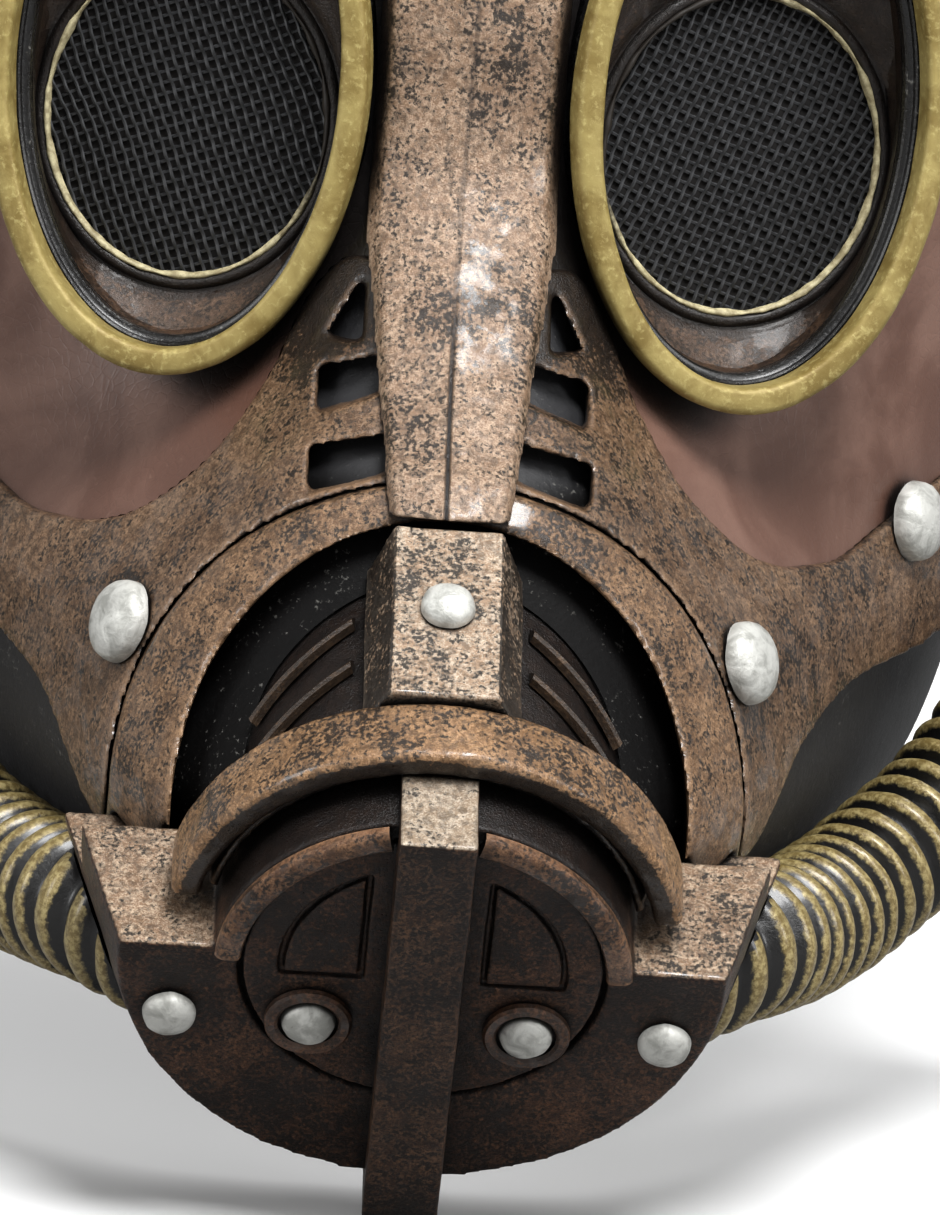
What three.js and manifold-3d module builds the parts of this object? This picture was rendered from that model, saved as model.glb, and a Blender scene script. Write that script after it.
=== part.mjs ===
// Gas mask style costume mask, in millimetres, +Z up, facing -Y.
// The origin is on the bridge of the wearer's nose, at eye height; +Y runs back into the head.
// X < 0 is the left side as the mask is seen from the front.
import * as THREE from "three";
import { mergeVertices } from "three/addons/utils/BufferGeometryUtils.js";
import Module from "manifold-3d";

const wasm = await Module();
wasm.setup();

// Face: overall form
const FACE_HALF_WIDTH = 81;
const FACE_DEPTH = 85;
const BROW_RISE = 78;
const CHIN_DROP = 108;
const MUZZLE_REACH = 46;
const MUZZLE_HALF_WIDTH = 41;
const MUZZLE_SQUARENESS = 5;

// Walls of the face, and the gap between neighbouring pieces
const GAP = 0.35;
const PLATE_WALL = 2.7;
const LEATHER_SINK = 0.9;
const LEATHER_WALL = PLATE_WALL - LEATHER_SINK;
const SHELL_WALL = 2.2;

// Goggles: half axes, and the place of the rim's front plane. EYE_ACROSS is a share of FACE_HALF_WIDTH.
const EYE_ACROSS = 0.4074;
const EYE_Z = 5.9;
const GOGGLE_FRONT_Y = -11;
const GOGGLE_TURN = THREE.MathUtils.degToRad(14);
const RIM_HALF_WIDTH = 21.8;
const RIM_HALF_HEIGHT = 33.9;
const RIM_BAND = 3;
const RIM_THICKNESS = 3.5;
const RIM_CHAMFER = 0.8;
const CUP_INSET = 1;
const CUP_WALL = 1.6;
const CUP_LIP = 3;
const CUP_LIP_DEPTH = 2.5;
const CUP_REACH = 30;
const OPENING_HALF_WIDTH = 16.2;
const OPENING_HALF_HEIGHT = 18;
const OPENING_SHIFT = 0.9;
const OPENING_DROP = 5.8;
const FUNNEL_DEPTH = 5.5;
const FUNNEL_WALL = 1.1;
const FUNNEL_FRONT = -RIM_THICKNESS - CUP_LIP_DEPTH - 2 * GAP;
const SCREEN_THICKNESS = 0.8;
const WELL_REACH = 60;
const GOGGLE_CLEAR = 10;
const RING_STEPS = 24;

// Nose plate
const NOSE_HALF_WIDTH = 10.8;
const NOSE_TIP_HALF_WIDTH = 6.2;
const NOSE_TAPER_Z = -11;
const NOSE_TIP_Z = -38;
const NOSE_TOP_Z = 52;
const NOSE_PLATE_WALL = 2.2;
const NOSE_RIDGE = 1.1;
const NOSE_CLEAR = 2;
const NOSE_STEPS = 14;
const NOSE_CROWDING = 1.3;

// Vent slots beside the nose plate
const SLOT_COUNT = 3;
const SLOT_REACH = 15.5;
const SLOT_HEIGHT = 4.9;
const SLOT_PITCH = 7.8;
const SLOT_LOWEST_Z = -37.3;
const SLOT_DROOP = 3;
const SLOT_SIDE = 0.6;
const TOP_SLOT_HEIGHT = 8;
const SLOT_TAPER = 0.85;

// How far cutting shapes reach: before and behind the origin, and past the piece they cut
const CUT_FRONT = 80;
const CUT_BACK = 20;
const CUT_PAST = 1;
const THROAT_REACH = 78;

// Filter box: a tilted drum whose lower half is the wider, with a square shoulder at each side
const BOX_FRONT = new THREE.Vector3(0, -54.5, -84.5);
const BOX_TILT = THREE.MathUtils.degToRad(35);
const BOX_RADIUS = 32.4;
const BOX_FLARE = 3.6;
const BOX_DEPTH = 26;
const BOX_WALL = 2.8;
const SHOULDER_HEIGHT = 1.7;
const SHOULDER_DEPTH = 17.5;
const SHOULDER_STEP = 7;
const FLANK_SPREAD = 0.11;
const NECK_RADIUS = 22.3;
const NECK_DEPTH = 38;
const BOX_STEPS = 30;

// Visor, mouth arch, louvres and centre block, all round the drum's axis
const VISOR_RADIUS = 27.8;
const VISOR_BACK = -12.6;
const VISOR_FRONT = -4.4;
const VISOR_LIP = 3.2;
const VISOR_SPREAD = THREE.MathUtils.degToRad(80);
const VISOR_BEVEL = 0.8;
const VISOR_WEB = 4;
const VISOR_FOOT = 1;
const VISOR_FOOT_DEPTH = 6;
const VISOR_STEPS = 18;
const MOUTH_Z = -71;
const MOUTH_HALF_WIDTH = 28;
const MOUTH_HALF_HEIGHT = 32.6;
const ARCH_WIDTH = 6.6;
const ARCH_RISE = 3.6;
const ARCH_RAISE = 0.8;
const ARCH_BACK = 5;
const ARCH_TURN = 0.47;
const ARCH_LEVEL = -0.2;
const LOUVRE_COUNT = 2;
const LOUVRE_FIRST = -31;
const LOUVRE_PITCH = 6.6;
const LOUVRE_WIDTH = 2.6;
const LOUVRE_RAISE = 1.5;
const LOUVRE_START = THREE.MathUtils.degToRad(24.5);
const LOUVRE_END = THREE.MathUtils.degToRad(58);
const LOUVRE_SLANT = 7;
const LOUVRE_STEPS = 8;
const BLOCK_WIDTH = 11.6;
const BLOCK_FOOT = 2.8;
const BLOCK_BACK = -37;
const BLOCK_BACK_RADIUS = 30;
const BLOCK_FRONT_RADIUS = 28.4;

// Front plate of the filter box, its rim and its bar
const PLATE_RIM_BAND = 2.8;
const PLATE_RIM_RAISE = 1.6;
const PLATE_RIM_END = THREE.MathUtils.degToRad(86);
const PLATE_RIM_BEVEL = 0.6;
const PLATE_RIM_STEPS = 9;
const BAR_WIDTH = 8.2;
const BAR_RAISE = 5.4;
const BAR_HOOK = 1.6;
const BAR_HOOK_DEPTH = 5.6;
const BAR_HOOK_SLANT = 1;

// Domed rivets: head diameters, and the height of a head as a share of its diameter.
// A place ending in ACROSS is a share of FACE_HALF_WIDTH.
const CHEEK_RIVET = 9.3;
const SMALL_RIVET = 5.8;
const RIVET_HEIGHT = 0.34;
const RIVET_STEPS = 9;
const CHEEK_RIVET_ACROSS = 0.4185;
const CHEEK_RIVET_Z = -54;
const ARM_RIVET_ACROSS = 0.6852;
const ARM_RIVET_Z = -42.5;
const BOX_RIVET_DROP = 8.3;
const DISC_RIVET_X = 11.7;
const SHOULDER_RIVET_X = 26.6;
const WASHER_BAND = 1.5;
const WASHER_RAISE = 0.9;
const WASHER_BEVEL = 0.4;
const WASHER_STEPS = 10;

// Hoses
const HOSE_RADIUS = 8.3;
const HOSE_GROOVE = 1.6;
const HOSE_PITCH = 4.6;
const HOSE_SIDES = 12;
const SOCKET_WALL = 1.5;
const SOCKET_LENGTH = 13;
const SOCKET_GRIP = 6;
const SOCKET_BEVEL = 3;
const SOCKET_SIDES = 14;
const HOSE_SINK = 5.4;
const HOSE_START_Y = -36;
const HOSE_START_Z = -87;
const HOSE_FLANK_LEVEL = -0.762;
const HOSE_END_TURN = 0.72;
const PASSAGE_STEPS = 12;

// Head strap
const HEAD_BACK_Y = 192;
const STRAP_WIDTH = 22;
const STRAP_THICKNESS = 1.8;
const STRAP_START_Y = 62;
const STRAP_RISE = 14;
const STRAP_STEPS = 18;
const STRAP_TUCK = 1.2;
const STRAP_FULLNESS = 0.8;

// Sections of the face, from the chin up.
// level: share of CHIN_DROP below the origin and of BROW_RISE above it.
// front: share of FACE_DEPTH that the middle lies behind the origin. width: share of FACE_HALF_WIDTH.
// ridge: share of MUZZLE_REACH that nose and muzzle stand out.
// spread: share of MUZZLE_HALF_WIDTH that they take.
const SECTIONS = [
  { level: -1.0, front: 0.024, width: 0.69, ridge: 0.36, spread: 0.76 },
  { level: -0.93, front: -0.012, width: 0.73, ridge: 0.48, spread: 0.82 },
  { level: -0.79, front: -0.06, width: 0.785, ridge: 0.76, spread: 0.93 },
  { level: -0.65, front: -0.106, width: 0.83, ridge: 1.0, spread: 1.0 },
  { level: -0.51, front: -0.118, width: 0.875, ridge: 0.76, spread: 0.97 },
  { level: -0.35, front: -0.095, width: 0.915, ridge: 0.63, spread: 0.66 },
  { level: -0.185, front: -0.065, width: 0.95, ridge: 0.37, spread: 0.42 },
  { level: 0.0, front: -0.06, width: 0.985, ridge: 0.13, spread: 0.35 },
  { level: 0.19, front: -0.07, width: 1.0, ridge: 0.1, spread: 0.35 },
  { level: 0.45, front: -0.06, width: 0.985, ridge: 0.07, spread: 0.4 },
  { level: 0.74, front: 0.02, width: 0.93, ridge: 0.02, spread: 0.4 },
  { level: 1.0, front: 0.14, width: 0.81, ridge: 0.0, spread: 0.4 },
];

// Lines of the face's grid, closer together where nose and muzzle curve.
// A turn is a share of the quarter turn from the middle to the ear; a level is as in SECTIONS.
const GRID_TURNS = [0, 0.06, 0.12, 0.18, 0.25, 0.32, 0.39, 0.47, 0.58, 0.72, 0.86, 1];
const GRID_LEVELS = [-1, -0.89, -0.79, -0.7, -0.6, -0.5, -0.4, -0.3, -0.18, -0.04, 0.2, 0.58, 1];

// Edges of the face. turn: share of the quarter turn from the middle to the ear.
// top: share of BROW_RISE. bottom: share of CHIN_DROP.
const EDGES = [
  { turn: 0.0, top: 0.97, bottom: -0.965 },
  { turn: 0.2, top: 0.96, bottom: -0.94 },
  { turn: 0.38, top: 0.92, bottom: -0.87 },
  { turn: 0.55, top: 0.82, bottom: -0.79 },
  { turn: 0.75, top: 0.6, bottom: -0.68 },
  { turn: 1.0, top: 0.34, bottom: -0.54 },
];

// Edges of the metal muzzle plate and its side arms, both as shares of CHIN_DROP.
const MUZZLE_EDGES = [
  { turn: 0.0, top: -0.12, bottom: -0.8 },
  { turn: 0.095, top: -0.12, bottom: -0.8 },
  { turn: 0.13, top: -0.155, bottom: -0.8 },
  { turn: 0.175, top: -0.255, bottom: -0.8 },
  { turn: 0.247, top: -0.352, bottom: -0.79 },
  { turn: 0.328, top: -0.41, bottom: -0.75 },
  { turn: 0.378, top: -0.424, bottom: -0.69 },
  { turn: 0.43, top: -0.426, bottom: -0.59 },
  { turn: 0.507, top: -0.395, bottom: -0.545 },
  { turn: 0.62, top: -0.345, bottom: -0.53 },
  { turn: 0.78, top: -0.29, bottom: -0.49 },
  { turn: 1.0, top: -0.24, bottom: -0.43 },
];

// Route of a hose from the box's flank to the side of the face, resting on the rubber.
// past: share of the way from the box's flank to HOSE_END_TURN. level: a height, as in SECTIONS.
// lift: share of the hose's radius above its resting place.
const HOSE_ROUTE = [
  { past: -0.41, level: -0.762, lift: 0 },
  { past: -0.1, level: -0.772, lift: 0 },
  { past: 0.158, level: -0.762, lift: 0 },
  { past: 0.416, level: -0.73, lift: 0.05 },
  { past: 0.656, level: -0.69, lift: 0.2 },
  { past: 0.863, level: -0.63, lift: 0.42 },
  { past: 1, level: -0.55, lift: 0.65 },
];

// Section of a rivet head: shares of its radius and of its height.
const RIVET_PROFILE = [
  { across: 0, up: 0 },
  { across: 1, up: 0 },
  { across: 0.97, up: 0.4 },
  { across: 0.62, up: 0.86 },
  { across: 0, up: 1 },
];

const COLOURS = {
  bronze: { color: 0x8a5a38, roughness: 0.42, metalness: 0.75 },
  darkBronze: { color: 0x3c2a20, roughness: 0.45, metalness: 0.6 },
  brass: { color: 0x8f7c42, roughness: 0.45, metalness: 0.8 },
  silver: { color: 0xb9b9b2, roughness: 0.5, metalness: 0.5 },
  leather: { color: 0x4c3029, roughness: 0.42, metalness: 0 },
  rubber: { color: 0x1b1b1c, roughness: 0.4, metalness: 0 },
  net: { color: 0x2b2c2d, roughness: 0.7, metalness: 0 },
  elastic: { color: 0x202020, roughness: 0.85, metalness: 0 },
};

const QUARTER = Math.PI / 2;

// Steps between points that give the face's direction.
const TURN_STEP = 0.01;
const RISE_STEP = 0.5;

// A column of a table at any place along it, on a curve that never overshoots its rows.
function readTable(table, along, column, at) {
  const last = table.length - 1;
  let i = 0;
  while (i < last - 1 && at > table[i + 1][along]) i += 1;
  const step = (k) => table[k + 1][along] - table[k][along];
  const slope = (k) => (table[k + 1][column] - table[k][column]) / step(k);
  const bend = (k) => {
    if (k <= 0 || k >= last || slope(k - 1) * slope(k) <= 0) return 0;
    return (2 * slope(k - 1) * slope(k)) / (slope(k - 1) + slope(k));
  };
  const t = THREE.MathUtils.clamp((at - table[i][along]) / step(i), 0, 1);
  const s = 1 - t;
  const ends = s * s * (1 + 2 * t) * table[i][column] + t * t * (1 + 2 * s) * table[i + 1][column];
  return ends + s * t * step(i) * (s * bend(i) - t * bend(i + 1));
}

function levelAt(z) {
  return z < 0 ? z / CHIN_DROP : z / BROW_RISE;
}

function heightAt(share) {
  return share * (share < 0 ? CHIN_DROP : BROW_RISE);
}

// Half the face's width at a height.
function halfWidthAt(z) {
  return FACE_HALF_WIDTH * readTable(SECTIONS, "level", "width", levelAt(z));
}

// A point of the metal's outer surface, at an angle round the face and a height.
function facePoint(angle, z) {
  const level = levelAt(z);
  const x = halfWidthAt(z) * Math.sin(angle);
  const front = FACE_DEPTH * readTable(SECTIONS, "level", "front", level);
  const ridge = MUZZLE_REACH * readTable(SECTIONS, "level", "ridge", level);
  const spread = MUZZLE_HALF_WIDTH * readTable(SECTIONS, "level", "spread", level);
  const muzzle = ridge / (1 + Math.abs(x / spread) ** MUZZLE_SQUARENESS);
  const y = front + FACE_DEPTH * (1 - Math.cos(angle)) - muzzle;
  return new THREE.Vector3(x, y, z);
}

// The outward direction of that surface.
function faceNormal(angle, z) {
  const around = facePoint(angle + TURN_STEP, z).sub(facePoint(angle - TURN_STEP, z));
  const up = facePoint(angle, z + RISE_STEP).sub(facePoint(angle, z - RISE_STEP));
  return around.cross(up).normalize();
}

function faceLifted(angle, z, lift) {
  return facePoint(angle, z).addScaledVector(faceNormal(angle, z), lift);
}

function angleAt(x, z) {
  return Math.asin(THREE.MathUtils.clamp(x / halfWidthAt(z), -1, 1));
}

function geometryOf(points, triangles) {
  const flat = points.flatMap((p) => [p.x, p.y, p.z]);
  const geometry = new THREE.BufferGeometry();
  geometry.setAttribute("position", new THREE.Float32BufferAttribute(flat, 3));
  geometry.setIndex(triangles.flat());
  return geometry;
}

// A closed skin between two grids of points, each grid a list of columns.
function bandSolid(outer, inner) {
  const columns = outer.length;
  const rows = outer[0].length;
  const points = [...outer.flat(), ...inner.flat()];
  const out = (i, j) => i * rows + j;
  const inn = (i, j) => columns * rows + i * rows + j;
  const triangles = [];
  const quad = (a, b, c, d) => triangles.push([a, b, c], [a, c, d]);
  for (let i = 0; i < columns - 1; i += 1) {
    for (let j = 0; j < rows - 1; j += 1) {
      quad(out(i, j), out(i + 1, j), out(i + 1, j + 1), out(i, j + 1));
      quad(inn(i, j), inn(i, j + 1), inn(i + 1, j + 1), inn(i + 1, j));
    }
    quad(out(i, 0), inn(i, 0), inn(i + 1, 0), out(i + 1, 0));
    quad(out(i, rows - 1), out(i + 1, rows - 1), inn(i + 1, rows - 1), inn(i, rows - 1));
  }
  for (let j = 0; j < rows - 1; j += 1) {
    quad(out(0, j), out(0, j + 1), inn(0, j + 1), inn(0, j));
    quad(out(columns - 1, j), inn(columns - 1, j), inn(columns - 1, j + 1), out(columns - 1, j + 1));
  }
  return geometryOf(points, triangles);
}

// A solid whose section changes from station to station; a closed sweep joins its last to its first.
function sweepSolid(stations, closed, capShape) {
  const sides = stations[0].length;
  const count = stations.length;
  const triangles = [];
  for (let i = 0; i < (closed ? count : count - 1); i += 1) {
    const next = (i + 1) % count;
    for (let k = 0; k < sides; k += 1) {
      const side = (k + 1) % sides;
      const a = i * sides + k;
      const b = i * sides + side;
      triangles.push([a, b, next * sides + side], [a, next * sides + side, next * sides + k]);
    }
  }
  if (!closed) {
    const base = (count - 1) * sides;
    for (const [a, b, c] of THREE.ShapeUtils.triangulateShape(capShape, [])) {
      triangles.push([a, c, b], [base + a, base + b, base + c]);
    }
  }
  return geometryOf(stations.flat(), triangles);
}

// A closed mesh as a solid with its faces outward.
function toSolid(geometry) {
  const bare = new THREE.BufferGeometry();
  bare.setAttribute("position", geometry.getAttribute("position"));
  bare.setIndex(geometry.getIndex());
  const merged = mergeVertices(bare, 1e-4);
  const triVerts = new Uint32Array(merged.getIndex().array);
  const make = () => {
    const vertProperties = merged.getAttribute("position").array;
    return new wasm.Manifold(new wasm.Mesh({ numProp: 3, vertProperties, triVerts }));
  };
  const solid = make();
  if (solid.volume() > 0) return solid;
  for (let i = 0; i < triVerts.length; i += 3) {
    [triVerts[i + 1], triVerts[i + 2]] = [triVerts[i + 2], triVerts[i + 1]];
  }
  return make();
}

function fromSolid(solid) {
  const mesh = solid.getMesh();
  const geometry = new THREE.BufferGeometry();
  geometry.setAttribute("position", new THREE.BufferAttribute(mesh.vertProperties, 3));
  geometry.setIndex(new THREE.BufferAttribute(mesh.triVerts, 1));
  return geometry;
}

function cut(geometry, ...tools) {
  return fromSolid(tools.reduce((left, tool) => left.subtract(toSolid(tool)), toSolid(geometry)));
}

function join(geometry, ...others) {
  return fromSolid(others.reduce((sum, other) => sum.add(toSolid(other)), toSolid(geometry)));
}

function common(geometry, other) {
  return fromSolid(toSolid(geometry).intersect(toSolid(other)));
}

function piece(name, geometry, finish) {
  const outward = fromSolid(toSolid(geometry));
  const mesh = new THREE.Mesh(outward, new THREE.MeshStandardMaterial(COLOURS[finish]));
  mesh.name = name;
  return mesh;
}

// A flat outline drawn from corners, and its prism from one depth to another along local Z.
function prism(corners, low, high) {
  const shape = new THREE.Shape(corners.map(([x, y]) => new THREE.Vector2(x, y)));
  const geometry = new THREE.ExtrudeGeometry(shape, { depth: high - low, bevelEnabled: false });
  return geometry.translate(0, 0, low);
}

// A round or conical plug along local Z.
function plug(lowRadius, highRadius, low, high, steps) {
  const profile = [
    new THREE.Vector2(0, low),
    new THREE.Vector2(lowRadius, low),
    new THREE.Vector2(highRadius, high),
    new THREE.Vector2(0, high),
  ];
  return new THREE.LatheGeometry(profile, steps).rotateX(QUARTER);
}

// The drum's own frame: X across, Y up its front plate, Z out of it.
function boxMatrix() {
  const matrix = new THREE.Matrix4().makeRotationX(QUARTER + BOX_TILT);
  return matrix.setPosition(BOX_FRONT);
}

function inWorld(geometry, matrix) {
  return geometry.clone().applyMatrix4(matrix);
}

// A goggle's own frame: X towards the ear, Y up, Z out of the rim.
function goggleMatrix() {
  const across = new THREE.Vector3(Math.cos(GOGGLE_TURN), Math.sin(GOGGLE_TURN), 0);
  const out = new THREE.Vector3(Math.sin(GOGGLE_TURN), -Math.cos(GOGGLE_TURN), 0);
  const matrix = new THREE.Matrix4().makeBasis(across, new THREE.Vector3(0, 0, 1), out);
  return matrix.setPosition(EYE_ACROSS * FACE_HALF_WIDTH, GOGGLE_FRONT_Y, EYE_Z);
}

function mirrored(geometry) {
  return geometry.clone().scale(-1, 1, 1);
}

function bothSides(geometry) {
  return [geometry, mirrored(geometry)];
}

// An upright oval prism in a goggle's frame.
function ovalPrism(halfWidth, halfHeight, low, high) {
  const turn = (2 * Math.PI) / RING_STEPS;
  const corners = Array.from({ length: RING_STEPS }, (_, i) => [
    halfWidth * Math.cos(i * turn),
    halfHeight * Math.sin(i * turn),
  ]);
  return prism(corners, low, high);
}

// A prism of the opening's outline, grown on every side.
function openingPrism(growth, low, high) {
  const oval = ovalPrism(OPENING_HALF_WIDTH + growth, OPENING_HALF_HEIGHT + growth, low, high);
  return oval.translate(OPENING_SHIFT, -OPENING_DROP, 0);
}

// The space that a goggle's cup takes through the face, with its clearance.
function cupPassage() {
  const halfWidth = RIM_HALF_WIDTH - CUP_INSET + GAP;
  const halfHeight = RIM_HALF_HEIGHT - CUP_INSET + GAP;
  return inWorld(ovalPrism(halfWidth, halfHeight, -WELL_REACH, GOGGLE_CLEAR), goggleMatrix());
}

// The flared lower part of the drum, grown on every side. Its flanks spread more than its underside.
function drumBody(growth, depth) {
  const body = plug(BOX_RADIUS + BOX_FLARE + growth, BOX_RADIUS + growth, -depth, growth, BOX_STEPS);
  const position = body.getAttribute("position");
  for (let i = 0; i < position.count; i += 1) {
    const spread = position.getZ(i) < -depth / 2 ? 1 + FLANK_SPREAD : 1;
    position.setX(i, position.getX(i) * spread);
  }
  const reach = 2 * BOX_RADIUS;
  const high = SHOULDER_HEIGHT + growth;
  const low = high - SHOULDER_STEP;
  const step = -SHOULDER_DEPTH - growth;
  const under = (top, from, to) => {
    return prism([[-reach, -reach], [reach, -reach], [reach, top], [-reach, top]], from, to);
  };
  return common(body, join(under(high, step, reach), under(low, -reach, step + CUT_PAST)));
}

// The drum's outer form, grown on every side.
function drumForm(growth) {
  const neck = plug(NECK_RADIUS + growth, NECK_RADIUS + growth, -NECK_DEPTH - growth, growth, BOX_STEPS);
  return join(drumBody(growth, BOX_DEPTH + growth), neck);
}

function mirroredTurns(turns) {
  return [...turns.slice(1).map((turn) => -turn).reverse(), ...turns];
}

function edgeHeight(table, column, angle) {
  return heightAt(readTable(table, "turn", column, Math.abs(angle) / QUARTER));
}

// A skin over the face between two lifts, on the grid that all its layers share.
function faceLayer(outerLift, innerLift, widest = 1, highest = 1) {
  const turns = mirroredTurns(GRID_TURNS.filter((turn) => turn <= widest));
  const levels = GRID_LEVELS.filter((level) => level <= highest);
  const column = (turn, lift) => levels.map((level) => faceLifted(turn * QUARTER, heightAt(level), lift));
  const grid = (lift) => turns.map((turn) => column(turn, lift));
  return bandSolid(grid(outerLift), grid(innerLift));
}

// Everything behind the face, from a lift of its surface inward.
function faceCore(lift) {
  const turns = mirroredTurns(GRID_TURNS);
  const inward = (turn) => new THREE.Vector3(-Math.sin(turn * QUARTER), Math.cos(turn * QUARTER), 0);
  const grid = (make) => turns.map((turn) => GRID_LEVELS.map((level) => make(turn, heightAt(level))));
  const outer = grid((turn, z) => faceLifted(turn * QUARTER, z, lift));
  const depth = FACE_HALF_WIDTH / 2;
  const inner = grid((turn, z) => facePoint(turn * QUARTER, z).addScaledVector(inward(turn), depth));
  return bandSolid(outer, inner);
}

// A thick block across the face between two edges, for trimming a layer to its outline.
function edgeBlock(table, bottom, top) {
  const turns = mirroredTurns(table.map((row) => row.turn));
  const reach = FACE_HALF_WIDTH / 2;
  const column = (turn, lift, past) => {
    const angle = turn * QUARTER;
    const out = new THREE.Vector3(Math.sin(angle), -Math.cos(angle), 0);
    return [bottom(angle), top(angle)].map((z) => {
      return facePoint(angle, z).addScaledVector(out, lift).add(new THREE.Vector3(0, past, 0));
    });
  };
  const grid = (lift) => [
    column(-1, lift, 2 * PLATE_WALL),
    ...turns.map((turn) => column(turn, lift, 0)),
    column(1, lift, 2 * PLATE_WALL),
  ];
  return bandSolid(grid(reach), grid(-reach));
}

const faceBottom = (angle) => edgeHeight(EDGES, "bottom", angle);
const faceTop = (angle) => edgeHeight(EDGES, "top", angle);
const muzzleBottom = (angle) => edgeHeight(MUZZLE_EDGES, "bottom", angle);
const muzzleTop = (angle) => edgeHeight(MUZZLE_EDGES, "top", angle);

// The black rubber base that all the rest lies on, open at the eyes and behind the filter box.
function faceShell() {
  const outer = -PLATE_WALL - GAP;
  const skin = common(faceLayer(outer, outer - SHELL_WALL), edgeBlock(EDGES, faceBottom, faceTop));
  const inset = CUP_INSET + CUP_WALL;
  const well = ovalPrism(RIM_HALF_WIDTH - inset, RIM_HALF_HEIGHT - inset, -WELL_REACH, GOGGLE_CLEAR);
  const eye = inWorld(well, goggleMatrix());
  const box = inWorld(drumForm(GAP), boxMatrix());
  const throat = inWorld(plug(NECK_RADIUS, NECK_RADIUS, -THROAT_REACH, 0, BOX_STEPS), boxMatrix());
  const tools = [...bothSides(eye), box, throat, ...bothSides(hosePassage())];
  return piece("face_shell", cut(skin, ...tools), "rubber");
}

// The brown leather of brow, temples and cheeks.
function leatherFace() {
  const bottom = (angle) => muzzleTop(angle) + GAP;
  const layer = faceLayer(-LEATHER_SINK, -LEATHER_SINK - LEATHER_WALL);
  const skin = common(layer, edgeBlock(MUZZLE_EDGES, bottom, faceTop));
  return piece("leather_face", cut(skin, ...bothSides(cupPassage())), "leather");
}

// Corners of one vent slot, seen from the front. The uppermost one is a triangle.
function slotCorners(index) {
  const low = SLOT_LOWEST_Z + index * SLOT_PITCH;
  const topmost = index === SLOT_COUNT - 1;
  const inside = noseHalfWidth(low) + SLOT_SIDE + (topmost ? 2 * SLOT_SIDE : 0);
  const outside = SLOT_REACH - index * SLOT_SIDE;
  if (topmost) return [[inside, low], [outside, low], [inside, low + TOP_SLOT_HEIGHT]];
  return [
    [inside, low + SLOT_DROOP],
    [outside, low],
    [outside, low + SLOT_HEIGHT],
    [inside, low + SLOT_DROOP + SLOT_HEIGHT * SLOT_TAPER],
  ];
}

// The front outline of the mouth: an oval above its middle, with straight sides below.
function mouthPrism(growth, rise, front = FACE_DEPTH, back = -FACE_DEPTH) {
  const halfWidth = MOUTH_HALF_WIDTH + growth;
  const halfHeight = MOUTH_HALF_HEIGHT + rise;
  const steps = BOX_STEPS / 2;
  const corners = Array.from({ length: steps + 1 }, (_, i) => {
    const angle = (i / steps) * Math.PI;
    return [halfWidth * Math.cos(angle), MOUTH_Z + halfHeight * Math.sin(angle)];
  });
  const low = -CHIN_DROP - ARCH_WIDTH;
  corners.push([-halfWidth, low], [halfWidth, low]);
  return prism(corners, back, front).rotateX(QUARTER);
}

// The metal plate round the mouth with its two side arms.
function muzzlePlate() {
  const skin = common(faceLayer(0, -PLATE_WALL, 1, 0), edgeBlock(MUZZLE_EDGES, muzzleBottom, muzzleTop));
  const tools = [mouthPrism(ARCH_WIDTH + GAP, ARCH_RISE + GAP), inWorld(drumForm(GAP), boxMatrix())];
  tools.push(...bothSides(cupPassage()), ...bothSides(hosePassage()));
  for (let i = 0; i < SLOT_COUNT; i += 1) {
    tools.push(...bothSides(prism(slotCorners(i), -CUT_BACK, CUT_FRONT).rotateX(QUARTER)));
  }
  return piece("muzzle_plate", cut(skin, ...tools), "bronze");
}

// The raised band round the mouth, following the face.
function mouthArch() {
  const layer = faceLayer(ARCH_RAISE, -PLATE_WALL, ARCH_TURN, ARCH_LEVEL);
  const band = common(layer, mouthPrism(ARCH_WIDTH, ARCH_RISE, FACE_DEPTH, -ARCH_BACK));
  const high = MOUTH_Z - ARCH_WIDTH;
  const low = -2 * CHIN_DROP;
  const width = 2 * MOUTH_HALF_WIDTH;
  const corners = [[-width, low], [width, low], [width, high], [-width, high]];
  const floor = prism(corners, -FACE_DEPTH, FACE_DEPTH).rotateX(QUARTER);
  const tools = [mouthPrism(0, 0), inWorld(drumForm(GAP), boxMatrix()), floor];
  return piece("mouth_arch", cut(band, ...tools, ...bothSides(hosePassage())), "bronze");
}

function noseHalfWidth(z) {
  const share = THREE.MathUtils.clamp((z - NOSE_TAPER_Z) / (NOSE_TIP_Z - NOSE_TAPER_Z), 0, 1);
  return THREE.MathUtils.lerp(NOSE_HALF_WIDTH, NOSE_TIP_HALF_WIDTH, share);
}

// A skin over the nose plate's outline, ridged along its middle.
function noseSkin(grow, outerLift, innerLift, ridge) {
  const shares = [-1, -0.5, 0, 0.5, 1];
  const low = NOSE_TIP_Z - grow;
  const high = NOSE_TOP_Z + grow;
  const heights = Array.from({ length: NOSE_STEPS + 1 }, (_, i) => {
    return low + (high - low) * (i / NOSE_STEPS) ** NOSE_CROWDING;
  });
  const grid = (lift, crown) =>
    shares.map((share) =>
      heights.map((z) => {
        const point = facePoint(angleAt(share * (noseHalfWidth(z) + grow), z), z);
        point.y -= lift(z) + crown * (1 - Math.abs(share));
        return point;
      }),
    );
  return bandSolid(grid(outerLift, ridge), grid(innerLift, 0));
}

// The plate over the bridge and nose. Above the muzzle plate it comes down onto the leather.
function nosePlate() {
  const archTop = MOUTH_Z + MOUTH_HALF_HEIGHT + ARCH_RISE;
  const seat = (z) => 2 * GAP + (z < archTop + NOSE_CLEAR ? ARCH_RAISE : 0);
  const outer = (z) => seat(z) + NOSE_PLATE_WALL;
  return piece("nose_plate", noseSkin(0, outer, seat, NOSE_RIDGE), "bronze");
}

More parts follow.
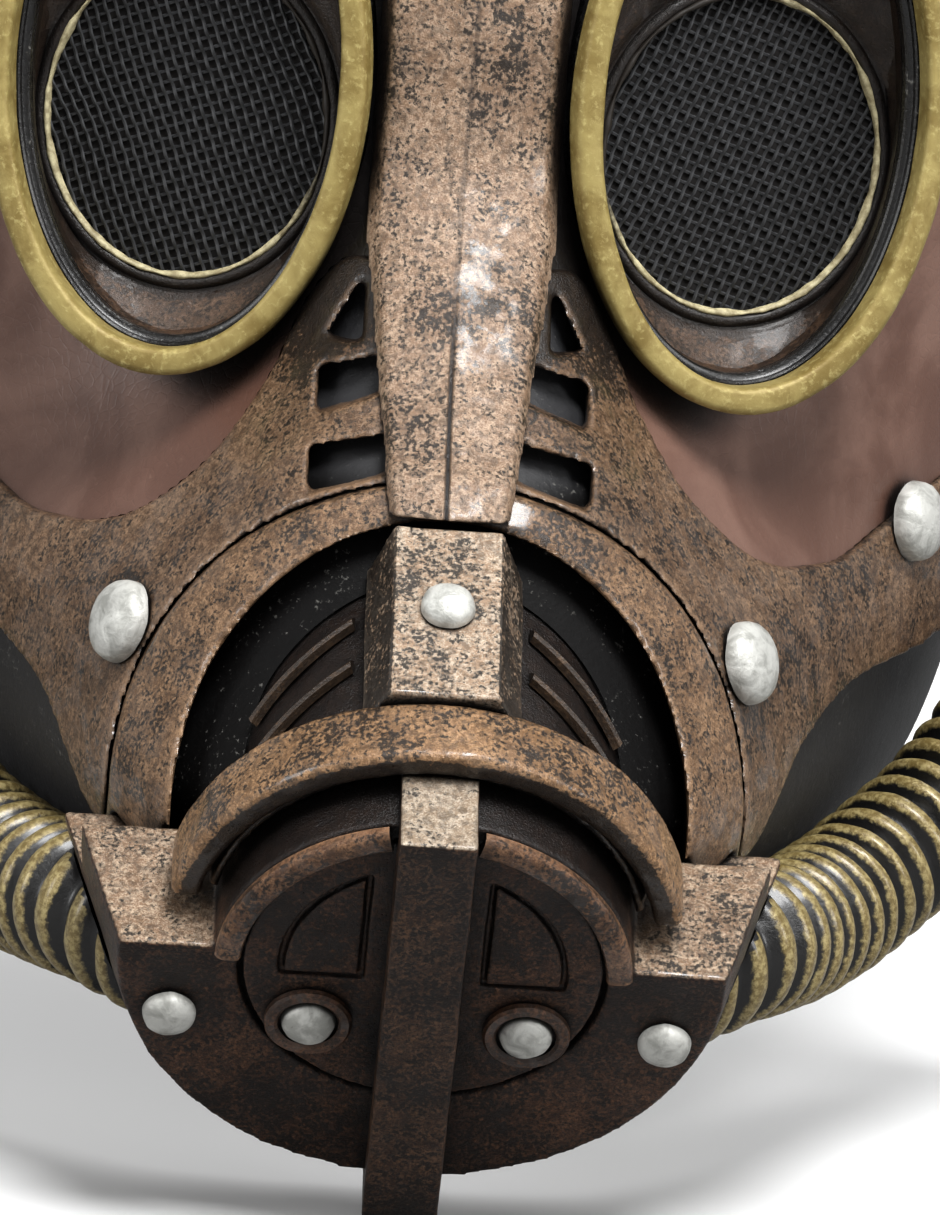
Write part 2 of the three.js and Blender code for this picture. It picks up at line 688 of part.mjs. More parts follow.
// A ring in a goggle's frame, from rows of half width, half height, depth and the centre's place.
function ovalRing(rows) {
  const turn = (2 * Math.PI) / RING_STEPS;
  const stations = Array.from({ length: RING_STEPS }, (_, i) =>
    rows.map(({ wide, tall, depth, shift = 0, drop = 0 }) => {
      const x = shift + wide * Math.cos(i * turn);
      const y = tall * Math.sin(i * turn) - drop;
      return new THREE.Vector3(x, y, depth);
    }),
  );
  return sweepSolid(stations, true);
}

function goggleRim() {
  const row = (inset, depth) => ({ wide: RIM_HALF_WIDTH - inset, tall: RIM_HALF_HEIGHT - inset, depth });
  return ovalRing([
    row(RIM_BAND, -RIM_THICKNESS),
    row(0, -RIM_THICKNESS),
    row(0, -RIM_CHAMFER),
    row(RIM_CHAMFER, 0),
    row(RIM_BAND - RIM_CHAMFER, 0),
    row(RIM_BAND, -RIM_CHAMFER),
  ]);
}

// The rubber cup that carries the rim, from behind it down to the face shell, with a lip inside its mouth.
function eyeCup() {
  const row = (inset, depth) => ({ wide: RIM_HALF_WIDTH - inset, tall: RIM_HALF_HEIGHT - inset, depth });
  const front = -RIM_THICKNESS - GAP;
  const cup = ovalRing([
    row(CUP_INSET, -CUP_REACH),
    row(CUP_INSET, front),
    row(CUP_INSET + CUP_LIP, front),
    row(CUP_INSET + CUP_LIP, front - CUP_LIP_DEPTH),
    row(CUP_INSET + CUP_WALL, front - CUP_LIP_DEPTH),
    row(CUP_INSET + CUP_WALL, -CUP_REACH),
  ]);
  const lift = () => GAP + NOSE_PLATE_WALL + NOSE_RIDGE + NOSE_CLEAR;
  const nose = noseSkin(GAP, lift, () => -PLATE_WALL - CUT_PAST, 0);
  const inFrame = (geometry) => inWorld(geometry, goggleMatrix().invert());
  return cut(cup, inFrame(nose), inFrame(faceCore(-PLATE_WALL)));
}

// The metal funnel between the cup's lip and the opening.
function eyeFunnel() {
  const inset = CUP_INSET + CUP_WALL + GAP;
  const front = FUNNEL_FRONT;
  const back = front - FUNNEL_DEPTH;
  const mouth = { wide: RIM_HALF_WIDTH - inset, tall: RIM_HALF_HEIGHT - inset };
  const opening = { shift: OPENING_SHIFT, drop: OPENING_DROP, depth: back };
  return ovalRing([
    { ...mouth, depth: front },
    { wide: mouth.wide - FUNNEL_WALL, tall: mouth.tall - FUNNEL_WALL, depth: front },
    { ...opening, wide: OPENING_HALF_WIDTH, tall: OPENING_HALF_HEIGHT },
    { ...opening, wide: OPENING_HALF_WIDTH + FUNNEL_WALL, tall: OPENING_HALF_HEIGHT + FUNNEL_WALL },
  ]);
}

// The net behind the funnel, here a thin solid.
function eyeScreen() {
  const front = FUNNEL_FRONT - FUNNEL_DEPTH - GAP;
  return openingPrism(FUNNEL_WALL, front - SCREEN_THICKNESS, front);
}

function goggle(side) {
  const group = new THREE.Group();
  group.add(piece("goggle_rim_" + side, goggleRim(), "brass"));
  group.add(piece("eye_cup_" + side, eyeCup(), "rubber"));
  group.add(piece("eye_funnel_" + side, eyeFunnel(), "bronze"));
  group.add(piece("eye_screen_" + side, eyeScreen(), "net"));
  group.applyMatrix4(goggleMatrix());
  return group;
}

// The hollow box: drum, shoulders and neck, open at the back.
function filterBox() {
  const bore = NECK_RADIUS - BOX_WALL;
  const neck = plug(bore, bore, -NECK_DEPTH - CUT_PAST, -BOX_WALL, BOX_STEPS);
  const hollow = drumBody(-BOX_WALL, BOX_DEPTH + CUT_PAST);
  return piece("filter_box", cut(drumForm(0), hollow, neck), "darkBronze");
}

// A ring or part of one about the drum's axis, from a section of radius and depth.
function arcSweep(section, from, to, steps) {
  const stations = Array.from({ length: steps + 1 }, (_, i) => {
    const angle = THREE.MathUtils.lerp(from, to, i / steps);
    return section(angle).map(([radius, depth]) => {
      return new THREE.Vector3(radius * Math.sin(angle), radius * Math.cos(angle), depth);
    });
  });
  const cap = section(from).map(([radius, depth]) => new THREE.Vector2(radius, depth));
  return sweepSolid(stations, false, cap);
}

// The hood over the front plate, with a step inside it.
function visor() {
  const inner = VISOR_RADIUS - VISOR_LIP;
  const foot = NECK_RADIUS + GAP;
  const section = [
    [foot, VISOR_BACK],
    [VISOR_RADIUS - VISOR_BEVEL, VISOR_BACK],
    [VISOR_RADIUS, VISOR_BACK + VISOR_BEVEL],
    [VISOR_RADIUS, VISOR_FRONT - VISOR_BEVEL],
    [VISOR_RADIUS - VISOR_BEVEL, VISOR_FRONT],
    [inner, VISOR_FRONT],
    [inner, VISOR_BACK + VISOR_WEB],
    [foot + VISOR_FOOT, VISOR_BACK + VISOR_WEB],
    [foot + VISOR_FOOT, VISOR_BACK + VISOR_FOOT_DEPTH],
    [foot, VISOR_BACK + VISOR_FOOT_DEPTH],
  ];
  const hood = arcSweep(() => section, -VISOR_SPREAD, VISOR_SPREAD, VISOR_STEPS);
  return piece("visor", hood, "bronze");
}

// One slanted rib on the neck beside the centre block.
function louvre(name, index) {
  const foot = NECK_RADIUS + GAP;
  const middle = (angle) => {
    const share = (angle - LOUVRE_START) / (LOUVRE_END - LOUVRE_START);
    return LOUVRE_FIRST + index * LOUVRE_PITCH + share * LOUVRE_SLANT;
  };
  const section = (angle) => [
    [foot, middle(angle) - LOUVRE_WIDTH / 2],
    [foot + LOUVRE_RAISE, middle(angle) + LOUVRE_WIDTH / 4],
    [foot, middle(angle) + LOUVRE_WIDTH / 2],
  ];
  return piece(name, arcSweep(section, LOUVRE_START, LOUVRE_END, LOUVRE_STEPS), "darkBronze");
}

// The block on the neck between the mouth arch and the visor. Its foot is wider by BLOCK_FOOT at each side.
function centreBlock() {
  const foot = NECK_RADIUS + GAP;
  const front = VISOR_BACK - GAP;
  const side = [
    [-BLOCK_BACK, foot],
    [-BLOCK_BACK, BLOCK_BACK_RADIUS],
    [-front, BLOCK_FRONT_RADIUS],
    [-front, foot],
  ];
  const geometry = prism(side, -BLOCK_WIDTH / 2, BLOCK_WIDTH / 2).rotateY(QUARTER);
  const position = geometry.getAttribute("position");
  for (let i = 0; i < position.count; i += 1) {
    const spread = position.getY(i) < foot + GAP ? BLOCK_FOOT : 0;
    position.setX(i, position.getX(i) + Math.sign(position.getX(i)) * spread);
  }
  return piece("centre_block", geometry, "bronze");
}

// The raised rim along one upper quarter of the front plate.
function plateRim(name) {
  const inner = NECK_RADIUS - PLATE_RIM_BAND;
  const start = Math.asin((BAR_WIDTH / 2 + GAP) / inner);
  const section = [
    [inner, GAP],
    [NECK_RADIUS, GAP],
    [NECK_RADIUS, PLATE_RIM_RAISE - PLATE_RIM_BEVEL],
    [NECK_RADIUS - PLATE_RIM_BEVEL, PLATE_RIM_RAISE],
    [inner + PLATE_RIM_BEVEL, PLATE_RIM_RAISE],
    [inner, PLATE_RIM_RAISE - PLATE_RIM_BEVEL],
  ];
  return piece(name, arcSweep(() => section, start, PLATE_RIM_END, PLATE_RIM_STEPS), "bronze");
}

// The bar down the front plate, hooked over the top of the plate and under the box.
function filterBar() {
  const top = NECK_RADIUS + GAP;
  const low = -BOX_RADIUS - GAP;
  const side = [
    [-GAP, top],
    [BAR_HOOK_DEPTH, top],
    [BAR_HOOK_DEPTH, top + BAR_HOOK],
    [-BAR_RAISE, top + BAR_HOOK],
    [-BAR_RAISE, low - BAR_HOOK],
    [BAR_HOOK_DEPTH, low - BAR_HOOK - BAR_HOOK_SLANT],
    [BAR_HOOK_DEPTH, low - BAR_HOOK_SLANT],
    [-GAP, low],
  ];
  const geometry = prism(side, -BAR_WIDTH / 2, BAR_WIDTH / 2).rotateY(QUARTER);
  return piece("filter_bar", geometry, "bronze");
}

// A domed rivet head standing on local Z = 0.
function rivetHead(diameter) {
  const radius = diameter / 2;
  const height = diameter * RIVET_HEIGHT;
  const points = RIVET_PROFILE.map(({ across, up }) => new THREE.Vector2(across * radius, up * height));
  return new THREE.LatheGeometry(points, RIVET_STEPS).rotateX(QUARTER);
}

function washer() {
  const inner = SMALL_RIVET / 2 + GAP;
  const outer = inner + WASHER_BAND;
  const points = [
    new THREE.Vector2(inner, 0),
    new THREE.Vector2(outer, 0),
    new THREE.Vector2(outer - WASHER_BEVEL, WASHER_RAISE),
    new THREE.Vector2(inner, WASHER_RAISE),
    new THREE.Vector2(inner, 0),
  ];
  return new THREE.LatheGeometry(points, WASHER_STEPS).rotateX(QUARTER);
}

// A rivet seated on the face at a place seen from the front.
function faceRivet(name, across, z) {
  const angle = angleAt(across * FACE_HALF_WIDTH, z);
  const mesh = piece(name, rivetHead(CHEEK_RIVET), "silver");
  mesh.position.copy(faceLifted(angle, z, GAP));
  mesh.quaternion.setFromUnitVectors(new THREE.Vector3(0, 0, 1), faceNormal(angle, z));
  return mesh;
}

function boxRivet(name, x) {
  const mesh = piece(name, rivetHead(SMALL_RIVET), "silver");
  mesh.position.set(x, -BOX_RIVET_DROP, GAP);
  return mesh;
}

function discWasher(name) {
  const mesh = piece(name, washer(), "bronze");
  mesh.position.set(DISC_RIVET_X, -BOX_RIVET_DROP, GAP);
  return mesh;
}

// The rivet in the middle of the centre block's sloping face.
function blockRivet() {
  const front = VISOR_BACK - GAP;
  const slope = Math.atan2(BLOCK_BACK_RADIUS - BLOCK_FRONT_RADIUS, front - BLOCK_BACK);
  const mesh = piece("block_rivet", rivetHead(SMALL_RIVET), "silver");
  const middle = (BLOCK_BACK_RADIUS + BLOCK_FRONT_RADIUS) / 2;
  mesh.position.set(0, middle + GAP, (front + BLOCK_BACK) / 2);
  mesh.rotation.x = slope - QUARTER;
  return mesh;
}

// The line that a hose's middle follows, from inside the box.
function hosePath() {
  const seat = HOSE_RADIUS - PLATE_WALL;
  const flank = (BOX_RADIUS + BOX_FLARE) * (1 + FLANK_SPREAD);
  const from = angleAt(flank, heightAt(HOSE_FLANK_LEVEL));
  const points = HOSE_ROUTE.map(({ past, level, lift }) => {
    const angle = THREE.MathUtils.lerp(from, HOSE_END_TURN * QUARTER, past);
    return faceLifted(angle, heightAt(level), seat + lift * HOSE_RADIUS);
  });
  const start = new THREE.Vector3(BOX_RADIUS - HOSE_SINK, HOSE_START_Y, HOSE_START_Z);
  return new THREE.CatmullRomCurve3([start, ...points]);
}

// A turned form laid along a curve: its height share of 0 to 1 becomes the way along.
function layAlong(profile, steps, sides, curve) {
  const geometry = new THREE.LatheGeometry(profile, sides);
  const frames = curve.computeFrenetFrames(steps);
  const position = geometry.getAttribute("position");
  const point = new THREE.Vector3();
  for (let i = 0; i < position.count; i += 1) {
    point.fromBufferAttribute(position, i);
    const index = Math.round(point.y * steps);
    const centre = curve.getPointAt(index / steps);
    centre.addScaledVector(frames.normals[index], point.x);
    centre.addScaledVector(frames.binormals[index], point.z);
    position.setXYZ(i, centre.x, centre.y, centre.z);
  }
  return geometry;
}

// The room that a hose takes, with its clearance.
function hosePassage() {
  const radius = HOSE_RADIUS + 2 * GAP;
  const profile = [new THREE.Vector2(0, 0)];
  for (let i = 0; i <= PASSAGE_STEPS; i += 1) profile.push(new THREE.Vector2(radius, i / PASSAGE_STEPS));
  profile.push(new THREE.Vector2(0, 1));
  return layAlong(profile, PASSAGE_STEPS, HOSE_SIDES, hosePath());
}

function ribbedHose(name) {
  const curve = hosePath();
  const ribs = Math.round(curve.getLength() / HOSE_PITCH);
  const steps = 2 * ribs;
  const profile = [new THREE.Vector2(0, 0)];
  for (let i = 0; i <= steps; i += 1) {
    const radius = HOSE_RADIUS - (i % 2 ? 0 : HOSE_GROOVE);
    profile.push(new THREE.Vector2(radius, i / steps));
  }
  profile.push(new THREE.Vector2(0, 1));
  const tube = layAlong(profile, steps, HOSE_SIDES, curve);
  return piece(name, cut(tube, inWorld(drumForm(GAP), boxMatrix())), "rubber");
}

// The closed cup that a hose ends in, lying against the side arm.
function hoseSocket(name) {
  const curve = hosePath();
  const end = curve.getPointAt(1);
  const tangent = curve.getTangentAt(1);
  const bore = HOSE_RADIUS + GAP;
  const outer = bore + SOCKET_WALL;
  const reach = SOCKET_LENGTH - SOCKET_GRIP;
  const profile = [
    [0, GAP],
    [bore, GAP],
    [bore, -SOCKET_GRIP],
    [outer, -SOCKET_GRIP],
    [outer, reach - SOCKET_BEVEL],
    [outer - SOCKET_BEVEL, reach],
    [0, reach],
  ];
  const points = profile.map(([across, up]) => new THREE.Vector2(across, up));
  const mesh = piece(name, new THREE.LatheGeometry(points, SOCKET_SIDES), "rubber");
  mesh.position.copy(end);
  mesh.quaternion.setFromUnitVectors(new THREE.Vector3(0, 1, 0), tangent);
  return mesh;
}

// The elastic strap round the back of the head, its ends on the leather at the temples.
function headStrap() {
  const half = [];
  const side = facePoint(QUARTER, 0);
  const start = side.x + GAP;
  for (let i = 0; i <= STRAP_STEPS / 2; i += 1) {
    const angle = (i / (STRAP_STEPS / 2)) * QUARTER;
    const x = start * Math.cos(angle) ** STRAP_FULLNESS;
    const y = side.y + (HEAD_BACK_Y - side.y) * Math.sin(angle);
    half.push({ x, y, lift: STRAP_RISE * (i / (STRAP_STEPS / 2)) });
  }
  half.unshift({ x: start, y: (STRAP_START_Y + side.y) / 2, lift: 0 });
  half.unshift({ x: start - STRAP_TUCK, y: STRAP_START_Y, lift: 0 });
  const path = [...half, ...half.slice(0, -1).reverse().map(({ x, y, lift }) => ({ x: -x, y, lift }))];
  const stations = path.map(({ x, y, lift }, i) => {
    const before = path[Math.max(i - 1, 0)];
    const after = path[Math.min(i + 1, path.length - 1)];
    const outward = new THREE.Vector2(after.y - before.y, before.x - after.x).normalize();
    const corner = (out, up) => {
      return new THREE.Vector3(x + outward.x * out, y + outward.y * out, lift + up);
    };
    const up = STRAP_WIDTH / 2;
    return [corner(0, -up), corner(STRAP_THICKNESS, -up), corner(STRAP_THICKNESS, up), corner(0, up)];
  });
  const cap = [[0, 0], [1, 0], [1, 1], [0, 1]].map(([x, y]) => new THREE.Vector2(x, y));
  return piece("head_strap", sweepSolid(stations, false, cap), "elastic");
}

function filterGroup() {
  const group = new THREE.Group();
  group.add(filterBox(), visor(), centreBlock(), filterBar(), blockRivet());
  for (const side of ["left", "right"]) {
    const half = new THREE.Group();
    half.scale.x = side === "left" ? -1 : 1;
    half.add(plateRim("plate_rim_" + side));
    half.add(boxRivet("disc_rivet_" + side, DISC_RIVET_X));
    half.add(discWasher("disc_washer_" + side));
    half.add(boxRivet("shoulder_rivet_" + side, SHOULDER_RIVET_X));
    for (let i = 0; i < LOUVRE_COUNT; i += 1) {
      half.add(louvre("louvre_" + (i + 1) + "_" + side, i));
    }
    group.add(half);
  }
  group.applyMatrix4(boxMatrix());
  return group;
}

function sideGroup(side) {
  const group = new THREE.Group();
  group.scale.x = side === "left" ? -1 : 1;
  group.add(goggle(side));
  group.add(faceRivet("cheek_rivet_" + side, CHEEK_RIVET_ACROSS, CHEEK_RIVET_Z));
  group.add(faceRivet("arm_rivet_" + side, ARM_RIVET_ACROSS, ARM_RIVET_Z));
  group.add(ribbedHose("hose_" + side));
  group.add(hoseSocket("hose_socket_" + side));
  return group;
}

const mask = new THREE.Group();
mask.add(faceShell(), leatherFace(), muzzlePlate(), mouthArch(), nosePlate(), filterGroup());
mask.add(sideGroup("left"), sideGroup("right"), headStrap());

export default mask;
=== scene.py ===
import math

import bpy
import numpy as np
from mathutils import Matrix, Vector


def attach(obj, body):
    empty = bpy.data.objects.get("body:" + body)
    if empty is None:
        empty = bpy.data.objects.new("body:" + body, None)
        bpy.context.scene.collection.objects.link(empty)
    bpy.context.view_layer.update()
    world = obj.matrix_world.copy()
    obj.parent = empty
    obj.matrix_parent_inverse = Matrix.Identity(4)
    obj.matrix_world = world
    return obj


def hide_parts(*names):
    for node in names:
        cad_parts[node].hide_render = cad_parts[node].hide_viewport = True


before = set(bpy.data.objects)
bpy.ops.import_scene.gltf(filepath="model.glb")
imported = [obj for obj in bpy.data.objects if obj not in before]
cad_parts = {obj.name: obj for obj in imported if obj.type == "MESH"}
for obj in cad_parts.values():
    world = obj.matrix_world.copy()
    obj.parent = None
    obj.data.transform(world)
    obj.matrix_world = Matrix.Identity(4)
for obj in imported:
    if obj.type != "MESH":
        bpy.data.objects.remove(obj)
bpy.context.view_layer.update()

MM = 0.001
QUARTER = math.pi / 2

# ---------------------------------------------------------------- sizes in millimetres, as in the frame
FACE_HALF_WIDTH, FACE_DEPTH, BROW_RISE, CHIN_DROP = 81, 85, 78, 108
MUZZLE_REACH, MUZZLE_HALF_WIDTH = 46, 41
GAP, PLATE_WALL, LEATHER_SINK, SHELL_WALL = 0.35, 2.7, 0.9, 2.2
LEATHER_WALL = PLATE_WALL - LEATHER_SINK
EYE = Vector((33, -11, 5.9))
GOGGLE_TURN = math.radians(14)
RIM_WIDE, RIM_TALL, CUP_INSET = 21.8, 33.9, 1
OPENING_WIDE, OPENING_TALL, OPENING_SHIFT, OPENING_DROP = 16.2, 18, 0.9, 5.8
FUNNEL_WALL = 1.1
NOSE_WIDE, NOSE_TIP_WIDE, NOSE_TAPER, NOSE_TIP, NOSE_TOP = 10.5, 6.6, -11, -38, 52
SLOT_REACH, SLOT_HEIGHT, SLOT_PITCH, SLOT_LOWEST = 15.5, 4.9, 7.8, -37.3
SLOT_DROOP, SLOT_SIDE, TOP_SLOT = 3, 0.6, 8
BOX_FRONT = Vector((0, -54.5, -84.5))
BOX_TILT = math.radians(35)
BOX_RADIUS, BOX_FLARE, BOX_DEPTH, BOX_WALL, FLANK_SPREAD = 32.4, 3.6, 26, 2.8, 0.11
SHOULDER, SHOULDER_DEPTH, SHOULDER_STEP = 1.7, 17.5, 7
NECK_RADIUS, NECK_DEPTH = 22.3, 38
MOUTH_Z, MOUTH_WIDE, MOUTH_TALL, ARCH_WIDTH, ARCH_RISE, ARCH_RAISE = -71, 28, 32.6, 6.6, 3.6, 0.8
HOSE_RADIUS, HOSE_GROOVE, HOSE_PITCH = 8.4, 1.8, 4.6
SMALL_RIVET, LARGE_RIVET, BOX_RIVET_DROP, DISC_RIVET_X, SHOULDER_RIVET_X = 5.8, 9.3, 8.3, 11.7, 26.6
CHEEK_RIVET, ARM_RIVET = (33.9, -54), (55.5, -42.5)
DISC_RADIUS, DISC_SEAT = 19.15, 19.75
PANEL_RADIUS, PANEL_INSET, PANEL_FOOT, PANEL_LINE = 15.4, 6.2, -1.9, 0.65
VISOR_INNER, VISOR_BACK = 24.6, -12.6
STRAP_WIDTH, STRAP_THICK, STRAP_REACH, STRAP_LIFT = 22, 1.8, 192, 14
NET_PITCH, NET_TURN, NET_WIRE, NET_RISE, NET_CELLS = 1.17, math.radians(24), 0.2, 0.19, 17

SECTIONS = {
    "level": [-1.0, -0.93, -0.79, -0.65, -0.51, -0.35, -0.185, 0.0, 0.19, 0.45, 0.74, 1.0],
    "front": [0.024, -0.012, -0.06, -0.106, -0.118, -0.095, -0.065, -0.06, -0.07, -0.06, 0.02, 0.14],
    "width": [0.69, 0.73, 0.785, 0.83, 0.875, 0.915, 0.95, 0.985, 1.0, 0.985, 0.93, 0.81],
    "ridge": [0.36, 0.48, 0.76, 1.0, 0.76, 0.63, 0.37, 0.13, 0.1, 0.07, 0.02, 0.0],
    "spread": [0.76, 0.82, 0.93, 1.0, 0.97, 0.66, 0.42, 0.35, 0.35, 0.4, 0.4, 0.4],
}
EDGES = {
    "turn": [0.0, 0.2, 0.38, 0.55, 0.75, 1.0],
    "top": [0.97, 0.96, 0.92, 0.82, 0.6, 0.34],
    "bottom": [-0.965, -0.94, -0.87, -0.79, -0.68, -0.54],
}
MUZZLE_EDGES = {
    "turn": [0.0, 0.095, 0.13, 0.175, 0.247, 0.328, 0.378, 0.43, 0.507, 0.62, 0.78, 1.0],
    "top": [-0.12, -0.12, -0.155, -0.255, -0.352, -0.41, -0.424, -0.426, -0.395, -0.345, -0.29, -0.24],
    "bottom": [-0.8, -0.8, -0.8, -0.8, -0.79, -0.75, -0.69, -0.59, -0.545, -0.53, -0.49, -0.43],
}
HOSE_ROUTE = [(0.31, -0.762, 0), (0.4, -0.772, 0), (0.475, -0.762, 0), (0.55, -0.73, 0.05),
              (0.62, -0.69, 0.2), (0.68, -0.63, 0.42), (0.72, -0.55, 0.65)]
HOSE_START = (27, -36, -87)


# ---------------------------------------------------------------- the face's form
def read_table(table, along, column, at):
    """A column of a table at many places, on a curve that never overshoots its rows."""
    x, y = np.array(table[along], float), np.array(table[column], float)
    slope = np.diff(y) / np.diff(x)
    bend = np.zeros(len(x))
    product = slope[:-1] * slope[1:]
    total = slope[:-1] + slope[1:]
    bend[1:-1] = np.where(product > 0, 2 * product / np.where(total == 0, 1, total), 0)
    i = np.clip(np.searchsorted(x, at) - 1, 0, len(x) - 2)
    step = x[i + 1] - x[i]
    t = np.clip((at - x[i]) / step, 0, 1)
    s = 1 - t
    return (s * s * (1 + 2 * t) * y[i] + t * t * (1 + 2 * s) * y[i + 1]
            + s * t * step * (s * bend[i] - t * bend[i + 1]))


def level_of(z):
    return np.where(z < 0, z / CHIN_DROP, z / BROW_RISE)


def height_of(share):
    return np.where(share < 0, share * CHIN_DROP, share * BROW_RISE)


def half_width(z):
    return FACE_HALF_WIDTH * read_table(SECTIONS, "level", "width", level_of(z))


def face_point(angle, z):
    level = level_of(z)
    x = half_width(z) * np.sin(angle)
    front = FACE_DEPTH * read_table(SECTIONS, "level", "front", level)
    ridge = MUZZLE_REACH * read_table(SECTIONS, "level", "ridge", level)
    spread = MUZZLE_HALF_WIDTH * read_table(SECTIONS, "level", "spread", level)
    y = front + FACE_DEPTH * (1 - np.cos(angle)) - ridge / (1 + np.abs(x / spread) ** 5)
    return np.stack([x, y, z + 0 * angle], -1)


def face_normal(angle, z):
    around = face_point(angle + 0.01, z) - face_point(angle - 0.01, z)
    up = face_point(angle, z + 0.5) - face_point(angle, z - 0.5)
    n = np.cross(around, up)
    return n / np.linalg.norm(n, axis=-1, keepdims=True)


def face_lifted(angle, z, lift):
    return face_point(angle, z) + face_normal(angle, z) * np.asarray(lift)[..., None]


def angle_at(x, z):
    return np.arcsin(np.clip(x / half_width(z), -1, 1))


def edge_height(table, column, angle):
    return height_of(read_table(table, "turn", column, np.abs(angle) / QUARTER))


# ---------------------------------------------------------------- shop tools
def deselect():
    if bpy.context.object and bpy.context.object.mode != "OBJECT":
        bpy.ops.object.mode_set(mode="OBJECT")
    bpy.ops.object.select_all(action="DESELECT")


def work_on(obj):
    deselect()
    obj.select_set(True)
    bpy.context.view_layer.objects.active = obj
    return obj


def edit_all():
    """Opens the piece in hand for work on all of it."""
    bpy.ops.object.mode_set(mode="EDIT")
    bpy.ops.mesh.select_all(action="SELECT")


def edit_done():
    bpy.ops.object.mode_set(mode="OBJECT")


def faces_out():
    """Turns every face of the piece in hand outwards and leaves off editing."""
    bpy.ops.mesh.select_all(action="SELECT")
    bpy.ops.mesh.normals_make_consistent(inside=False)
    edit_done()


def modifier(obj, kind, **settings):
    """Adds a modifier with its settings and applies it."""
    work_on(obj)
    m = obj.modifiers.new(kind.lower(), kind)
    for key, value in settings.items():
        setattr(m, key, value)
    bpy.ops.object.modifier_apply(modifier=m.name)
    return obj


def repeated(obj, count, step, merge=0):
    """A row of copies, a step in millimetres apart, with near corners merged."""
    return modifier(obj, "ARRAY", count=count, use_relative_offset=False, use_constant_offset=True,
                    constant_offset_displace=Vector(step) * MM, use_merge_vertices=merge > 0,
                    merge_threshold=merge)


def carve(obj, tool, how="DIFFERENCE"):
    modifier(obj, "BOOLEAN", object=tool, operation=how, solver="MANIFOLD")
    bpy.data.objects.remove(tool)
    return obj


def carve_all(obj, tools):
    for tool in tools:
        carve(obj, tool)
    return obj


def thinned(obj, share):
    """Keeps a share of the faces that a cast piece has."""
    return modifier(obj, "DECIMATE", decimate_type="COLLAPSE", ratio=share)


def clouds(name, scale, depth=2):
    texture = bpy.data.textures.new(name, "CLOUDS")
    texture.noise_scale, texture.noise_depth = scale, depth
    return texture


HAND_LUMPS = clouds("hand_lumps", 0.006)


def lumps(obj, height, texture=HAND_LUMPS, coords="LOCAL"):
    return modifier(obj, "DISPLACE", texture=texture, texture_coords=coords, strength=height * MM,
                    mid_level=0.5)


def at_rest():
    """Puts the piece in hand's own place into its mesh."""
    bpy.ops.object.transform_apply(location=True, rotation=True, scale=True)


def cast(obj, voxel, rounds, high, grow=0.0):
    """Casts the piece anew in small cells, rubs its edges down and makes it uneven."""
    modifier(obj, "REMESH", mode="VOXEL", voxel_size=voxel * MM, use_smooth_shade=True)
    modifier(obj, "SMOOTH", factor=0.5, iterations=rounds)
    if grow:
        modifier(obj, "DISPLACE", strength=grow * MM, mid_level=0)
    return lumps(obj, high)


def place(obj, matrix):
    """Puts the piece in its place, with the place in its mesh."""
    work_on(obj)
    obj.matrix_world = matrix @ obj.matrix_world
    at_rest()
    return obj


def drawn_out(x, y, z):
    """Draws the picked faces or edges out by so many millimetres."""
    bpy.ops.mesh.extrude_region_move(TRANSFORM_OT_translate={"value": (x * MM, y * MM, z * MM)})


def dress(obj, look):
    obj.data.materials.clear()
    obj.data.materials.append(look)


def renamed(name):
    obj = bpy.context.object
    obj.name = obj.data.name = name
    return obj


def started(name, add, **settings):
    """A plain shape to begin a piece with, in hand."""
    deselect()
    add(**settings)
    return renamed(name)


def added(name, data):
    obj = bpy.data.objects.new(name, data)
    bpy.context.scene.collection.objects.link(obj)
    return obj


def copied(obj, name):
    """A copy with a mesh of its own."""
    other = obj.copy()
    other.data = obj.data.copy()
    other.name = other.data.name = name
    bpy.context.scene.collection.objects.link(other)
    return other


def node_copy(node):
    """A merged copy of a frame node, with its flat faces made quads again."""
    obj = copied(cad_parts[node], node)
    obj.parent = None
    obj.animation_data_clear()
    for key in list(obj.keys()):
        del obj[key]
    work_on(obj)
    edit_all()
    bpy.ops.mesh.remove_doubles(threshold=0.00002)
    bpy.ops.mesh.tris_convert_to_quads(face_threshold=math.radians(50), shape_threshold=math.radians(60))
    edit_done()
    obj.data.materials.clear()
    return obj


def solid_from(name, points, faces):
    mesh = bpy.data.meshes.new(name)
    mesh.from_pydata([tuple(p * MM) for p in points], [], faces)
    obj = work_on(added(name, mesh))
    edit_all()
    faces_out()
    return obj


def band_solid(name, outer, inner):
    """A closed block between two sheets of points."""
    columns, rows = outer.shape[:2]
    points = np.concatenate([outer.reshape(-1, 3), inner.reshape(-1, 3)])
    base = columns * rows
    faces = []
    for i in range(columns - 1):
        for j in range(rows - 1):
            a = i * rows + j
            faces.append((a, a + rows, a + rows + 1, a + 1))
            faces.append((base + a, base + a + 1, base + a + rows + 1, base + a + rows))
    ring = [i * rows for i in range(columns)] + [(columns - 1) * rows + j for j in range(1, rows)]
    ring += [i * rows + rows - 1 for i in range(columns - 2, -1, -1)] + list(range(rows - 2, 0, -1))
    for a, b in zip(ring, ring[1:] + ring[:1]):
        faces.append((a, base + a, base + b, b))
    return solid_from(name, points, faces)


def prism(name, corners, low, high, matrix):
    """A block of a drawn outline between two depths along its own Z."""
    work = [Vector((x, y, low)) for x, y in corners] + [Vector((x, y, high)) for x, y in corners]
    n = len(corners)
    faces = [tuple(range(n)), tuple(range(n, 2 * n))]
    faces += [(i, (i + 1) % n, n + (i + 1) % n, n + i) for i in range(n)]
    return solid_from(name, [matrix @ p for p in work], faces)


